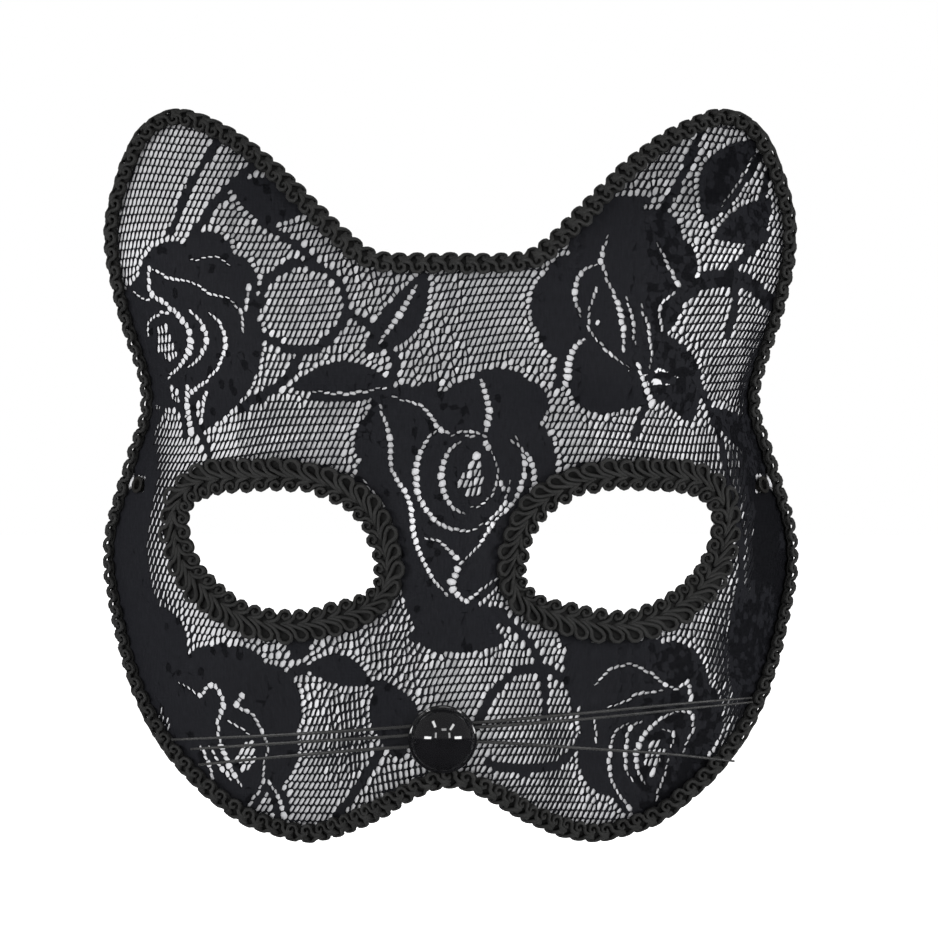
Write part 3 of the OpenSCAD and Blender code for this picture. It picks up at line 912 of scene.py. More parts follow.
def step_count(line, step, least):
    """How many steps of about this length a line takes."""
    return max(least, int(np.hypot(*np.diff(line, axis=0).T).sum() / step))


def gather_seeds(pitch, row):
    """Cell middles and their holes, lines first so that the cells follow them."""
    solids, vines, gaps, hearts = design()
    rng = np.random.default_rng(3)
    rings = [to_cloth(s) for s in solids]

    def in_solid(points):
        hit = np.zeros(len(points), bool)
        for ring in rings:
            hit |= inside(points, ring)
        return hit

    lists, flanks = [], []
    for line in gaps:
        walk = evenly(np.column_stack([to_cloth(line[:, :2]), line[:, 2]]), WALK_STEPS)
        at = np.linspace(0, WALK_STEPS, step_count(walk[:, :2], LINE_STEP, 2) + 1).astype(int)
        marks, widths = walk[at, :2], walk[at, 2]
        ways = np.gradient(walk[:, :2], axis=0)[at]
        ways /= np.linalg.norm(ways, axis=1, keepdims=True)
        lists.append((marks, gap_holes(ways, widths)))
        off = np.maximum(widths, SEED_GAP + 0.01)[:, None] * np.stack([ways[:, 1], -ways[:, 0]], 1)
        flanks += [(marks + off, closed(len(marks))), (marks - off, closed(len(marks)))]
    lists += flanks
    for line in vines:
        flat = to_cloth(line[:, :2])
        marks = evenly(flat, step_count(flat, EDGE_STEP, 2))
        lists.append((marks, closed(len(marks))))
    for ring in rings:
        loop = np.vstack([ring, ring[:1]])
        marks = evenly(loop, step_count(loop, EDGE_STEP, 6))
        for off in (-EDGE_OFF, EDGE_OFF):
            at = (marks + off * left_of(marks))[:-1]
            lists.append((at, net_holes(in_solid(at), rng)))
    net = lattice(pitch, row, rng)
    shut = in_solid(net)
    for x, z, rx, rz in hearts:
        middle = to_cloth([(x, z)])[0]
        shut &= np.hypot((net[:, 0] - middle[0]) / rx, (net[:, 1] - middle[1]) / rz) > 1
    lists.append((net, net_holes(shut, rng)))

    taken, seeds, holes = {}, [], []
    for points, shapes in lists:
        for p, hole in zip(points, shapes):
            cell = (int(p[0] // SEED_GAP), int(p[1] // SEED_GAP))
            near = (q for dx in (-1, 0, 1) for dy in (-1, 0, 1)
                    for q in taken.get((cell[0] + dx, cell[1] + dy), ()))
            if any((p[0] - q[0]) ** 2 + (p[1] - q[1]) ** 2 < SEED_GAP**2 for q in near):
                continue
            taken.setdefault(cell, []).append(p)
            seeds.append(p)
            holes.append(hole)
    return np.array(seeds), np.array(holes)


def net_cells(seeds):
    """A flat mesh with one many-sided face round each seed, tagged with the seed's number."""
    bm = bmesh.new()
    points, _, faces, first, _, _ = delaunay_2d_cdt([Vector(s) for s in seeds], [], [], 0, 1e-4)
    tag = bm.faces.layers.int.new("cell")
    made = [bm.verts.new((p[0], 0, p[1])) for p in points]
    for f in faces:
        bm.faces.new([made[i] for i in f])
    shared = [e for e in bm.edges if len(e.link_faces) == 2]
    bmesh.ops.poke(bm, faces=bm.faces[:])
    bmesh.ops.rotate_edges(bm, edges=shared, use_ccw=False)
    for v, number in zip(made, first):
        for f in v.link_faces:
            f[tag] = number[0] if number else -1
    rim = [v for v in made if v.is_boundary]
    middles = [v for v in made if not v.is_boundary]
    bmesh.ops.dissolve_verts(bm, verts=middles)
    bmesh.ops.delete(bm, geom=[v for v in rim if v.is_valid], context="VERTS")
    return bm


# Distances from an edge, in millimetres, within which cells are left out or closed
CUT_MARGIN, EYE_MARGIN = 0.9, 0.7
RIM_CLOSED, EYE_CLOSED = 1.7, 5.5
# The net is drawn tight round the sides, where its cells narrow to slits and close
SLOPE_TIGHT, SLOPE_SPAN, SLIT = 0.55, 0.75, 0.2
EAR_EASE, EAR_LOW, EAR_SPAN = 0.75, 92, 22
LACE_BACK, THREAD_FRONT, CLOTH_FRONT = 0.04, 0.30, 0.42


def cut_lace(seeds, holes):
    """Which cells lie in the lace, and their holes once the borders and sides are closed."""
    front = from_cloth(seeds)
    rim = reach(seeds, to_cloth(SHELL_EDGE))
    kept = inside(front, SHELL_EDGE[:-1]) & (rim > CUT_MARGIN)
    shut = rim < RIM_CLOSED
    for side in (1, -1):
        cut = EYE_CUT * [side, 1]
        near = reach(seeds, to_cloth(cut))
        kept &= ~inside(front, cut[:-1]) & (near > EYE_MARGIN)
        shut |= near < EYE_CLOSED
        eyelet = to_cloth([(side * EYELET_AT[0], EYELET_AT[1])])[0]
        kept &= np.hypot(*(seeds - eyelet).T) > EYELET_HOLE + EYE_MARGIN
    kept &= np.hypot(*(seeds - to_cloth([NOSE_AT])[0]).T) > SHANK_HOLE + EYE_MARGIN
    steep = np.abs(slopes(front[:, 0], front[:, 1])[0])
    eased = SLOPE_TIGHT + EAR_EASE * ramp((front[:, 1] - EAR_LOW) / EAR_SPAN)
    pulled = 1 - ramp((steep - eased) / SLOPE_SPAN)
    holes[:, 0, 0] *= pulled
    holes[shut | (pulled < SLIT)] = 0
    return kept, holes


class MASK_OT_lace(bpy.types.Operator):
    """Work the lace: open net cells, with flowers, leaves and vines closed in"""

    bl_idname = "mask.lace"
    bl_label = "Lace"

    def execute(self, context):
        sizes = context.scene.mask_sizes
        colours = context.scene.mask_colours
        seeds, holes = gather_seeds(sizes.net_pitch / MM, sizes.net_row / MM)
        kept, holes = cut_lace(seeds, holes)
        is_open = holes[:, 1, 1] + holes[:, 0, 0] > 0

        bm = net_cells(seeds)
        tag = bm.faces.layers.int["cell"]
        bmesh.ops.delete(bm, geom=[f for f in bm.faces if f[tag] < 0 or not kept[f[tag]]],
                         context="FACES")
        bm.normal_update()
        bmesh.ops.reverse_faces(bm, faces=[f for f in bm.faces if f.normal.y > 0])
        opened = [f for f in bm.faces if is_open[f[tag]]]
        bmesh.ops.inset_individual(bm, faces=opened, thickness=0.02, use_even_offset=False)
        for f in opened:
            (wide, lean), (rise, tall) = holes[f[tag]]
            middle = f.calc_center_median()
            for v in f.verts:
                d = v.co - middle
                v.co = middle + Vector((wide * d.x + lean * d.z, 0, rise * d.x + tall * d.z))
        bmesh.ops.delete(bm, geom=opened, context="FACES_ONLY")
        bmesh.ops.delete(bm, geom=[v for v in bm.verts if not v.link_faces], context="VERTS")

        # Faces of closed cells carry the flowers' cloth, the rest the net's thread
        uv = bm.loops.layers.uv.new("Cloth")
        for f in bm.faces:
            f.material_index = 0 if is_open[f[tag]] else 1
            for loop in f.loops:
                loop[uv].uv = (loop.vert.co.x / 100, loop.vert.co.z / 100)
        fronts = [CLOTH_FRONT if all(f.material_index for f in v.link_faces) else THREAD_FRONT
                  for v in bm.verts]
        bmesh.ops.solidify(bm, geom=bm.faces[:], thickness=sizes.lace_thickness / MM)
        flat = positions(bm)
        height = np.full(len(flat), LACE_BACK)
        height[: len(fronts)] = fronts
        front = from_cloth(flat[:, [0, 2]])
        set_positions(bm, place(raised(front[:, 0], front[:, 1], height)))
        if bm.calc_volume(signed=True) < 0:
            bmesh.ops.reverse_faces(bm, faces=bm.faces[:])
        obj = new_piece("lace", bm, thread_material(colours), smooth=False)
        obj.data.materials.append(cloth_material(colours))
        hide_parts("lace_cover")
        return {"FINISHED"}


# ---------------------------------------------------------------------------
# The braid: scrolls of cord on a woven band, laid along a path on the shell
# ---------------------------------------------------------------------------


class Way:
    """A closed path on the shell, with the side that a braid's width is measured to."""

    def __init__(self, loop, side, core):
        self.loop, self.side = loop, side
        line = skin(*self.shifted(loop, side, core).T)
        steps = np.linalg.norm(np.diff(line, axis=0), axis=1)
        self.run = np.r_[0, np.cumsum(steps)]
        self.length = float(self.run[-1])

    @staticmethod
    def side_step(p, side):
        """From each point of the skin to the one that a small step to its side reaches."""
        q = p + side * SLOPE_STEP
        return skin(q[..., 0], q[..., 1]) - skin(p[..., 0], p[..., 1])

    def shifted(self, p, side, across):
        """Front-view points moved to their side by a distance along the skin."""
        def stretch(q):
            return np.linalg.norm(self.side_step(q, side), axis=-1) / SLOPE_STEP
        first = across / stretch(p)
        return p + side * (across / stretch(p + side * (first / 2)[..., None]))[..., None]

    def lay(self, t, across, height):
        """Points in millimetres, t along the braid and height off the shell's front."""
        t = np.mod(t, self.length)
        p = np.stack([np.interp(t, self.run, self.loop[:, k]) for k in (0, 1)], -1)
        side = np.stack([np.interp(t, self.run, self.side[:, k]) for k in (0, 1)], -1)
        side /= np.linalg.norm(side, axis=-1, keepdims=True)
        q = self.shifted(p, side, np.maximum(across, 0))
        away = -self.side_step(p, side)
        away /= np.linalg.norm(away, axis=-1, keepdims=True)
        return raised(q[..., 0], q[..., 1], height) + away * np.maximum(-across, 0)[..., None]


def smoothed(ways, rounds):
    """Unit side directions of a closed loop, evened out along it."""
    for _ in range(rounds):
        ring = ways[:-1]
        ring = (np.roll(ring, 1, 0) + 2 * ring + np.roll(ring, -1, 0)) / 4
        ways = np.vstack([ring, ring[:1]])
    return ways / np.linalg.norm(ways, axis=1, keepdims=True)


# One scroll of the braid, as distance along, distance across and height of its cord's
# middle. The stems run forward to the core, where the next scrolls' stems lie on them
LEAF_SIDE = [
    (5.4, 4.55, 0.55), (3.9, 5.0, 0.9), (2.5, 5.8, 0.8), (1.65, 6.9, 0.6), (1.4, 8.1, 0.5),
    (0.7, 9.0, 0.5), (-0.45, 9.15, 0.5), (-1.4, 8.5, 0.5), (-1.55, 7.4, 0.55),
    (-0.8, 6.45, 0.65), (0.4, 5.8, 0.75), (1.9, 5.15, 0.85), (3.4, 4.65, 0.7), (4.7, 4.35, 0.45),
]
RING_SIDE = [
    (5.2, 4.5, 0.45), (3.7, 4.3, 0.9), (2.5, 3.8, 0.9), (1.75, 3.1, 0.75), (1.55, 2.2, 0.6),
    (0.95, 1.3, 0.5), (-0.1, 0.9, 0.45), (-1.15, 1.25, 0.45), (-1.65, 2.2, 0.5),
    (-1.1, 3.1, 0.55), (-0.1, 3.3, 0.5), (0.55, 2.6, 0.4), (0.2, 1.95, 0.3),
]
# The same scroll where the braid is folded over the edge: rings inside, lobes outside
EDGE_RING = [
    (4.3, 0.2, 0.5), (3.2, 0.25, 0.9), (2.1, 0.45, 0.95), (1.4, 1.0, 0.85), (1.3, 1.9, 0.7),
    (0.7, 2.75, 0.6), (-0.4, 2.85, 0.6), (-1.3, 2.2, 0.65), (-1.35, 1.2, 0.75),
    (-0.6, 0.65, 0.75), (0.1, 1.0, 0.6), (0.05, 1.6, 0.5),
]
EDGE_LOBE = [
    (4.2, 0.1, 0.55), (3.1, -0.05, 1.0), (2.0, -0.3, 1.0), (1.4, -0.95, 0.85),
    (0.9, -1.75, 0.7), (0.0, -2.05, 0.65), (-0.9, -1.8, 0.65), (-1.4, -1.1, 0.7),
    (-1.3, -0.4, 0.8), (-0.6, -0.2, 0.8), (0.0, -0.6, 0.6), (0.1, -1.1, 0.45),
]
# The woven band under the scrolls, row by row: distance across, height, and how far the row
# bows out to each side to follow a scroll
EYE_BAND = [
    (1.7, 0.05, -1.1), (1.8, 0.5, -1.1), (2.3, 0.75, -0.5), (3.0, 0.8, 0), (4.6, 0.85, 0),
    (6.2, 0.6, 0), (7.4, 0.5, 0.2), (8.0, 0.4, 0.8), (8.2, 0.1, 0.9),
]
RIM_BAND = [
    (1.9, 0.05, 0.9), (1.7, 0.4, 0.85), (1.2, 0.6, 0.2), (0.4, 0.65, 0), (-0.3, 0.8, 0),
    (-0.75, 0.95, -0.3), (-0.95, 1.0, -1.0), (-1.0, 0.95, -1.45), (-0.95, 0.1, -1.5),
]
BAND_PER_PITCH = 8
# Half of a scallop's width, as a share of the pitch
SCALLOP = 0.44
BAND_THICK = 0.5 * MM
CORD_SEAT = 0.7
CORD_TAPER, CORD_UV_ROUND, CORD_UV_STEP, BAND_UV_SCALE = 0.62, 0.3, 0.35, 60
# How unevenly the scrolls are worked: size, place along and across, and height
UNEVEN_SIZE, UNEVEN_ALONG, UNEVEN_ACROSS, UNEVEN_HEIGHT = 0.07, 0.25, 0.18, (-0.08, 0.12)


def cord_unit(lines, width, sides):
    """One scroll as a flat bmesh of cord tubes, with UVs round and along the cord."""
    bm = bmesh.new()
    uv = bm.loops.layers.uv.new("Cord")
    for line in lines:
        marks = np.array(line, float)
        place_of = {}
        for k, (ring, way) in enumerate(zip(tube(bm, sides, len(marks)), ways_along(marks))):
            taper = CORD_TAPER if k in (0, len(marks) - 1) else 1.0
            points = ring_round(marks[k], way, width / 2 * taper, sides, 0.5)
            for j, (v, p) in enumerate(zip(ring, points)):
                v.co = p
                place_of[v] = (k, j)
        for f in bm.faces:
            ks = [place_of.get(v) for v in f.verts]
            if None in ks:
                continue
            wrap = max(j for _, j in ks) - min(j for _, j in ks) > 1
            for loop in f.loops:
                k, j = place_of[loop.vert]
                round_share = (j + sides * (wrap and j == 0)) / sides
                loop[uv].uv = (round_share * CORD_UV_ROUND, k * CORD_UV_STEP)
        caps = [e for e in bm.edges if e.is_boundary]
        bmesh.ops.holes_fill(bm, edges=caps)
    bmesh.ops.recalc_face_normals(bm, faces=bm.faces[:])
    return bm


def lay_braid(name, way, lines, band, width, sides, pitch, flow, fold, seed, material, replaced):
    """Repeats a scroll along the way, puts the woven band under it and bends both round."""
    count = int(round(way.length / pitch))
    step = way.length / count
    rng = np.random.default_rng(seed)
    bm = cord_unit(lines, width, sides)
    per = len(bm.verts)
    bmesh.ops.spin(bm, geom=bm.verts[:] + bm.edges[:] + bm.faces[:], cent=(0, 0, 0),
                   axis=(0, 0, 1), dvec=(step, 0, 0), angle=0, steps=count - 1,
                   use_duplicate=True)
    units = positions(bm).reshape(-1, per, 3)
    order = np.arange(len(units))[:, None]
    local = units - np.stack([order * step, 0 * order, 0 * order], -1)

    def uneven(low, high):
        return rng.uniform(low, high, (len(units), 1))

    grow = 1 + uneven(-UNEVEN_SIZE, UNEVEN_SIZE)
    middle = local[..., 1].mean()
    along = local[..., 0] * flow * grow + uneven(-UNEVEN_ALONG, UNEVEN_ALONG)
    across = middle + (local[..., 1] - middle) * grow + uneven(-UNEVEN_ACROSS, UNEVEN_ACROSS)
    height = local[..., 2] + uneven(*UNEVEN_HEIGHT)
    t = order * step + along
    across, height = fold(across, height + CORD_SEAT)
    spots = way.lay(t.ravel(), across.ravel(), height.ravel())
    set_positions(bm, place(spots))
    if flow < 0:
        bmesh.ops.reverse_faces(bm, faces=bm.faces[:])
    bmesh.ops.recalc_face_normals(bm, faces=bm.faces[:])
    cords = new_piece(name + "_cord", bm, material[0])

    # The band: a long grid bent into a ring, its two edges scalloped to follow the scrolls
    columns, rows = count * BAND_PER_PITCH, len(band) - 1
    base = bmesh.new()
    bmesh.ops.create_grid(base, x_segments=columns, y_segments=rows, size=1)
    i, j = grid_numbers(base, columns, rows)
    bands = np.array(band, float)
    off = np.abs((i / BAND_PER_PITCH + 0.5) % 1 - 0.5)
    across = bands[j, 0] + bands[j, 2] * np.sqrt(1 - np.minimum(off / SCALLOP, 1) ** 2)
    height = bands[j, 1] + 0.05 * np.cos(2 * math.pi * i / BAND_PER_PITCH + j)
    across, height = fold(across, height)
    t = (i % columns) / columns * way.length
    set_positions(base, place(way.lay(t, across, height)))
    bmesh.ops.remove_doubles(base, verts=base.verts[:], dist=1e-6)
    uv = base.loops.layers.uv.new("Cord")
    for f in base.faces:
        for loop in f.loops:
            loop[uv].uv = (loop.vert.co.x * BAND_UV_SCALE, loop.vert.co.z * BAND_UV_SCALE)
    bmesh.ops.recalc_face_normals(base, faces=base.faces[:])
    if sum(f.normal.y * f.calc_area() for f in base.faces) > 0:
        bmesh.ops.reverse_faces(base, faces=base.faces[:])
    under = new_piece(name + "_band", base, material[1])
    wall = under.modifiers.new("Weave", "SOLIDIFY")
    wall.thickness = BAND_THICK
    wall.offset = -1
    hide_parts(replaced)


# Steps of each braid's path, rounds of smoothing, and distance across to its core
EYE_WAY_STEPS, EYE_SMOOTHING, EYE_CORE = 240, 6, 4.6
RIM_WAY_STEPS, RIM_SMOOTHING, RIM_CORE = 900, 10, 0.6


def flat_lay(across, height):
    return across, height + LACE_SEAT


LEAN = math.radians(42)
# How far the whole folded braid is set in from the cut edge, in millimetres
RIM_SET_IN = 0.9
FOLD_ACROSS = np.linspace(6, -6, 121)
FOLD_ANGLE = LEAN * ramp((1.0 - FOLD_ACROSS) / 2.4)
FOLD_STEP = FOLD_ACROSS[0] - FOLD_ACROSS[1]
FOLD_D = 6 - np.r_[0, np.cumsum(np.cos(FOLD_ANGLE[1:]) * FOLD_STEP)]
FOLD_H = -np.r_[0, np.cumsum(np.sin(FOLD_ANGLE[1:]) * FOLD_STEP)]


def folded_lay(across, height):
    """Bends the braid back over the cut edge of the shell."""
    d = np.interp(-across, -FOLD_ACROSS, FOLD_D)
    h = np.interp(-across, -FOLD_ACROSS, FOLD_H)
    a = np.interp(-across, -FOLD_ACROSS, FOLD_ANGLE)
    return d + RIM_SET_IN - height * np.sin(a), h + LACE_SEAT + height * np.cos(a)


class MASK_OT_eye_braids(bpy.types.Operator):
    """Lay gimp braid round both eyes"""

    bl_idname = "mask.eye_braids"
    bl_label = "Eye braids"

    def execute(self, context):
        sizes, colours = context.scene.mask_sizes, context.scene.mask_colours
        cord = cord_material(colours, "Black rayon cord")
        # The woven band is real, but its colour at 0.4 of the cord's is painted shade between the
        # scrolls
        weave = cord_material(colours, "Black braid weave in painted shade", 0.4)
        for name, side in (("eye_braid_right", 1), ("eye_braid_left", -1)):
            loop = evenly(EYE_OPENING, EYE_WAY_STEPS)
            away = smoothed(left_of(loop), EYE_SMOOTHING)
            way = Way(loop * [side, 1], away * [side, 1], EYE_CORE)
            lay_braid(name, way, (LEAF_SIDE, RING_SIDE), EYE_BAND, sizes.cord_width / MM, 6,
                      sizes.braid_pitch / MM, side, flat_lay, 11 + side, (cord, weave), name)
        return {"FINISHED"}


class MASK_OT_rim_braid(bpy.types.Operator):
    """Fold gimp braid over the cut edge of the shell"""

    bl_idname = "mask.rim_braid"
    bl_label = "Outer braid"

    def execute(self, context):
        sizes, colours = context.scene.mask_sizes, context.scene.mask_colours
        cord = cord_material(colours, "Black rayon cord, outer")
        # The woven band is real, but its colour at 0.4 of the cord's is painted shade between the
        # scrolls
        weave = cord_material(colours, "Black braid weave in painted shade, outer", 0.4)
        loop = evenly(SHELL_EDGE, RIM_WAY_STEPS)
        way = Way(loop, smoothed(-left_of(loop), RIM_SMOOTHING), RIM_CORE)
        lay_braid("outer_braid", way, (EDGE_RING, EDGE_LOBE), RIM_BAND, sizes.cord_width / MM, 5,
                  sizes.braid_pitch / MM, -1, folded_lay, 5, (cord, weave), "outer_braid")
        return {"FINISHED"}


# ---------------------------------------------------------------------------
# Nose, whiskers and eyelets
# ---------------------------------------------------------------------------

NOSE_LIFT = 1.5
DOME_R, DOME_H = 8.2, 6.2
FLANGE_R, FLANGE_T = 8.8, 1.2
WASHER_GAP, WASHER_T, WASHER_R, SHANK_R = 0.6, 0.8, 6.5, 2.2
SHANK_END, SHANK_CHAMFER = 5.0, (0.5, 0.4)
# The washer's shallow groove: outer and inner edges, slant and depth
GROOVE_OUT, GROOVE_IN, GROOVE_SLANT, GROOVE_DEEP = 5.2, 3.0, 0.4, 0.25
EYELET_BORE, EYELET_BARREL, EYELET_FRONT, EYELET_BACK = 1.3, 1.7, 2.3, 3.2


def on_shell(at):
    """Turns the z axis to the way the shell faces at a point, in the frame's metres."""
    n = Vector(outward(*at))
    turn = Vector((0, 0, 1)).rotation_difference(n).to_matrix().to_4x4()
    return Matrix.Translation(Vector(place(skin(*at)))) @ turn


def turned(profile, steps, matrix, rounded=(), closed=False):
    """Spins a profile of radius and height, in millimetres, about the z axis."""
    bm = bmesh.new()
    verts = [bm.verts.new((r * MM, 0, h * MM)) for r, h in profile]
    pairs = list(zip(verts, verts[1:])) + ([(verts[-1], verts[0])] if closed else [])
    for a, b in pairs:
        bm.edges.new((a, b))
    for amount, which in rounded:
        bmesh.ops.bevel(bm, geom=[verts[i] for i in which], offset=amount * MM, segments=4,
                        profile=0.5, affect="VERTICES", material=-1)
    bmesh.ops.spin(bm, geom=bm.verts[:] + bm.edges[:], cent=(0, 0, 0), axis=(0, 0, 1),
                   dvec=(0, 0, 0), angle=2 * math.pi, steps=steps, use_merge=True)
    bmesh.ops.remove_doubles(bm, verts=bm.verts[:], dist=1e-6)
    bmesh.ops.recalc_face_normals(bm, faces=bm.faces[:])
    bmesh.ops.transform(bm, matrix=matrix, verts=bm.verts[:])
    return bm


class MASK_OT_nose(bpy.types.Operator):
    """Turn the domed nose and the washer that holds it behind the shell"""

    bl_idname = "mask.nose"
    bl_label = "Nose"

    def execute(self, context):
        seat = on_shell(NOSE_AT)
        top = NOSE_LIFT + FLANGE_T
        cap_r = (DOME_R**2 + DOME_H**2) / (2 * DOME_H)
        spread = math.asin(DOME_R / cap_r)
        arc = [(cap_r * math.sin(a), top + DOME_H - cap_r * (1 - math.cos(a)))
               for a in np.linspace(0, spread, 26)]
        arc[0] = (0, top + DOME_H)
        profile = arc + [(FLANGE_R, top - 0.15), (FLANGE_R, NOSE_LIFT), (SHANK_R, NOSE_LIFT),
                         (SHANK_R, SHANK_CHAMFER[1] - SHANK_END),
                         (SHANK_R - SHANK_CHAMFER[0], -SHANK_END), (0, -SHANK_END)]
        n = len(arc)
        bm = turned(profile, 96, seat, rounded=((0.4, (n, n + 1)),))
        nose = new_piece("nose_dome", bm, polish_material(context.scene.mask_colours))
        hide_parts("nose_button")
        low = -1 - WASHER_GAP - WASHER_T
        high, hole = low + WASHER_T, SHANK_R + 0.05
        ring = [(hole, low), (WASHER_R, low), (WASHER_R, high), (GROOVE_OUT, high),
                (GROOVE_OUT - GROOVE_SLANT, high - GROOVE_DEEP),
                (GROOVE_IN + GROOVE_SLANT, high - GROOVE_DEEP), (GROOVE_IN, high), (hole, high)]
        bm = turned(ring, 72, seat, rounded=((0.25, (1, 2)),), closed=True)
        washer = new_piece("nose_washer_ring", bm,
                           nylon_material("White nylon", (0.62, 0.62, 0.58),
                                          (0.8, 0.8, 0.76), 0.1))
        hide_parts("nose_washer")
        return {"FINISHED"}


WHISKERS = {
    "whisker_upper": [(-71.5, 26.8), (-41.5, 28.3), (-11, 30.4), (-2, 31.4), (6, 31.4),
                      (33.5, 33.7), (59, 36), (77.5, 37.4)],
    "whisker_middle": [(-66.5, 24.4), (-41.5, 26.2), (-11, 28.2), (-2, 30.25), (6, 30.2),
                       (33.5, 32.2), (59, 34.6), (77.7, 36.3)],
    "whisker_lower": [(-64.5, 20.4), (-41.5, 22.8), (-11, 25.2), (-2, 24.5), (6, 26.5),
                      (33.5, 24.8), (56, 23.1), (73, 21.1)],
}
# How far back a whisker bends 78 mm out from the nose, and how it thins towards its ends
WHISKER_BEND, WHISKER_BEND_AT = 17, 78
WHISKER_SIDES, WHISKER_REACH, WHISKER_TAPER = 10, 80, 0.45


class MASK_OT_whiskers(bpy.types.Operator):
    """Draw the three nylon whiskers out from under the nose"""

    bl_idname = "mask.whiskers"
    bl_label = "Whiskers"

    def execute(self, context):
        thick = context.scene.mask_sizes.whisker_width / MM
        material = nylon_material("Black nylon", (0.012, 0.012, 0.012), (0.035, 0.035, 0.035))
        n = outward(*NOSE_AT)
        seat = skin(*NOSE_AT)
        for name, marks in WHISKERS.items():
            line = spline(marks, 8)
            off = line - NOSE_AT
            flat = seat[1] + (n[0] * off[:, 0] + n[2] * off[:, 1]) / -n[1]
            y = flat - (LACE_SEAT + thick / 2 + 0.05)
            y += WHISKER_BEND * (off[:, 0] / WHISKER_BEND_AT) ** 2
            points = np.column_stack([line[:, 0], y, line[:, 1]])
            bm = bmesh.new()
            rings = tube(bm, WHISKER_SIDES, len(points))
            ends = np.abs(off[:, 0]) / WHISKER_REACH
            for ring, p, way, end in zip(rings, points, ways_along(points), ends):
                r = thick / 2 * (1 - WHISKER_TAPER * end**3)
                for v, q in zip(ring, place(ring_round(p, way, r, WHISKER_SIDES))):
                    v.co = q
            bmesh.ops.holes_fill(bm, edges=[e for e in bm.edges if e.is_boundary])
            bmesh.ops.recalc_face_normals(bm, faces=bm.faces[:])
            obj = new_piece(name + "_filament", bm, material)
            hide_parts(name)
        return {"FINISHED"}


class MASK_OT_eyelets(bpy.types.Operator):
    """Set a rolled eyelet through each temple"""

    bl_idname = "mask.eyelets"
    bl_label = "Eyelets"

    def execute(self, context):
        material = enamel_material()
        for name, side in (("strap_eyelet_left", -1), ("strap_eyelet_right", 1)):
            seat = on_shell((side * EYELET_AT[0], EYELET_AT[1]))
            profile = [(EYELET_BORE, 1.25), (EYELET_FRONT, 1.25), (EYELET_FRONT, 0.75),
                       (EYELET_BARREL, 0.75), (EYELET_BARREL, -1.25), (EYELET_BACK, -1.25),
                       (EYELET_BACK, -1.6), (EYELET_BACK - 0.3, -1.75), (EYELET_BORE, -1.75)]
            bm = turned(profile, 48, seat, rounded=((0.22, (0, 1, 2)), (0.2, (8,))), closed=True)
            obj = new_piece(name + "_ring", bm, material)
            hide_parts(name)
        return {"FINISHED"}


# ---------------------------------------------------------------------------
# Stage
# ---------------------------------------------------------------------------


def softbox(name, at, wide, tall, power, turn=0.0, mirrored=True):
    """A softbox that faces the mask; one that isn't mirrored lights it without a reflection."""
    data = bpy.data.lights.new(name, "AREA")
    data.shape = "RECTANGLE"
    data.size, data.size_y = wide, tall
    data.energy = power
    obj = bpy.data.objects.new(name, data)
    obj.location = at
    face = (Vector(LIGHTS_AIM) - Vector(at)).to_track_quat("-Z", "Y").to_matrix()
    obj.rotation_euler = (face @ Matrix.Rotation(math.radians(turn), 3, "Z")).to_euler()
    obj.visible_glossy = mirrored
    bpy.context.scene.collection.objects.link(obj)


LIGHTS_AIM = (0, 0, -0.02)
# Place, width and height in metres, power in watts, turn in degrees, and if it is mirrored
SOFTBOXES = {
    "Upper left": ((-0.56, -0.65, 0.93), 0.16, 0.60, 2.6, 44, True),
    "Upper right": ((0.67, -0.77, 0.76), 0.16, 0.60, 2.2, -50, True),
    "Top": ((0.12, -1.10, 0.64), 0.36, 0.18, 0.7, 0, True),
    "Near left": ((-0.50, -1.17, 0.22), 0.14, 0.40, 0.8, 0, True),
    "Near right": ((0.53, -1.16, 0.21), 0.14, 0.40, 0.8, 0, True),
    "Side left": ((-1.02, -0.80, 0.02), 0.60, 0.17, 3.8, 0, True),
    "Side right": ((1.04, -0.70, 0.02), 0.60, 0.17, 3.8, 0, True),
    "Flank left": ((-1.45, -0.40, 0.25), 0.50, 0.60, 17.0, 0, False),
    "Flank right": ((1.45, -0.40, 0.25), 0.50, 0.60, 17.0, 0, False),
}
# Share of the white backdrop's brightness that the room itself gives
ROOM_LIGHT = 0.12


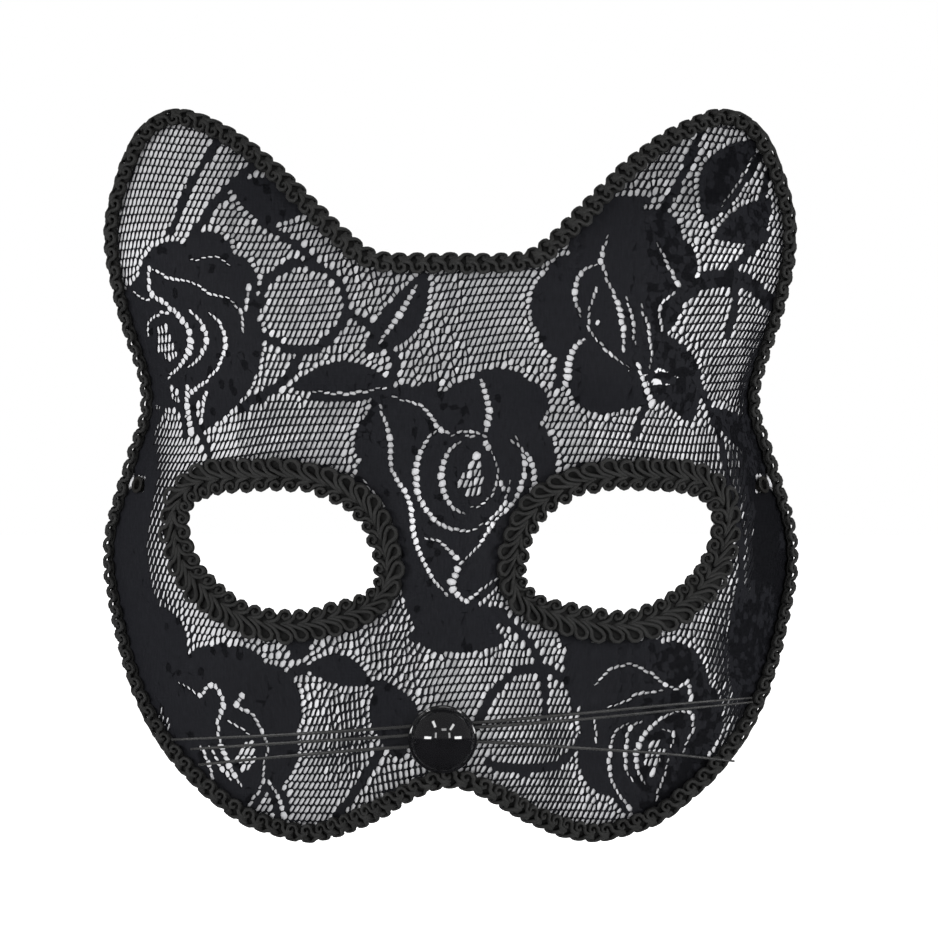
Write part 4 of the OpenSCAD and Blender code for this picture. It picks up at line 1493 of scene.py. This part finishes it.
class MASK_OT_stage(bpy.types.Operator):
    """Set the pale floor, soft lights and the camera in front of the mask"""

    bl_idname = "mask.stage"
    bl_label = "Stage"

    def execute(self, context):
        scene = context.scene
        scene.view_settings.view_transform = "Standard"
        bm = bmesh.new()
        bmesh.ops.create_grid(bm, x_segments=8, y_segments=8, size=14)
        low = CAD_BOX[0][2] - 0.0015
        for v in bm.verts:
            v.co.z = low
        mesh = bpy.data.meshes.new("floor")
        bm.to_mesh(mesh)
        bm.free()
        floor = bpy.data.objects.new("floor", mesh)
        scene.collection.objects.link(floor)
        mat, tree, bsdf = new_material("Pale floor", Roughness=0.9, Specular_IOR_Level=0.0,
                                       Emission_Color=(1, 1, 1, 1))
        pale = scene.mask_colours.floor
        rays = node(tree, "ShaderNodeLightPath").outputs["Is Glossy Ray"]
        tone = two_tone(tree, rays, pale, (0, 0, 0))
        tree.links.new(tone, bsdf.inputs["Base Color"])
        tree.links.new(remap(tree, rays, 1.25, 0.0), bsdf.inputs["Emission Strength"])
        mesh.materials.append(mat)

        world = bpy.data.worlds.new("Studio")
        world.use_nodes = True
        sky = world.node_tree
        sky.nodes["Background"].inputs["Color"].default_value = (1, 1, 1, 1)
        rays = node(sky, "ShaderNodeLightPath")
        sky.links.new(remap(sky, rays.outputs["Is Camera Ray"], ROOM_LIGHT, 1.0),
                      sky.nodes["Background"].inputs["Strength"])
        scene.world = world

        for name, (at, wide, tall, power, turn, mirrored) in SOFTBOXES.items():
            softbox(name, at, wide, tall, power, turn, mirrored)

        data = bpy.data.cameras.new("Front")
        data.sensor_width = 36
        data.lens = 36 * 3.0 / 0.2426
        data.clip_end = 60
        camera = bpy.data.objects.new("Front", data)
        camera.location = (0.0048, 0.025 - 3.0, 0.0202)
        camera.rotation_euler = (math.radians(90), 0, 0)
        scene.collection.objects.link(camera)
        scene.camera = camera
        return {"FINISHED"}


# ---------------------------------------------------------------------------
# Panel, registration and the run
# ---------------------------------------------------------------------------

OPERATORS = (MASK_OT_shell, MASK_OT_lace, MASK_OT_eye_braids, MASK_OT_rim_braid, MASK_OT_nose,
             MASK_OT_whiskers, MASK_OT_eyelets, MASK_OT_stage)


class MASK_PT_panel(bpy.types.Panel):
    """Sizes, colours and makers of the mask"""

    bl_idname = "MASK_PT_panel"
    bl_label = "Lace half mask"
    bl_space_type = "VIEW_3D"
    bl_region_type = "UI"
    bl_category = "Mask"

    def draw(self, context):
        for group in (context.scene.mask_sizes, context.scene.mask_colours):
            column = self.layout.column()
            for name in group.__annotations__:
                column.prop(group, name)
        for operator in OPERATORS:
            self.layout.operator(operator.bl_idname)


CLASSES = (MaskSizes, MaskColours, *OPERATORS, MASK_PT_panel)


def register():
    for cls in CLASSES:
        bpy.utils.register_class(cls)
    bpy.types.Scene.mask_sizes = bpy.props.PointerProperty(type=MaskSizes)
    bpy.types.Scene.mask_colours = bpy.props.PointerProperty(type=MaskColours)


def unregister():
    del bpy.types.Scene.mask_colours
    del bpy.types.Scene.mask_sizes
    for cls in reversed(CLASSES):
        bpy.utils.unregister_class(cls)


def main():
    register()
    bpy.ops.mask.shell()
    bpy.ops.mask.lace()
    bpy.ops.mask.eye_braids()
    bpy.ops.mask.rim_braid()
    bpy.ops.mask.nose()
    bpy.ops.mask.whiskers()
    bpy.ops.mask.eyelets()
    bpy.ops.mask.stage()


if __name__ == "__main__":
    main()
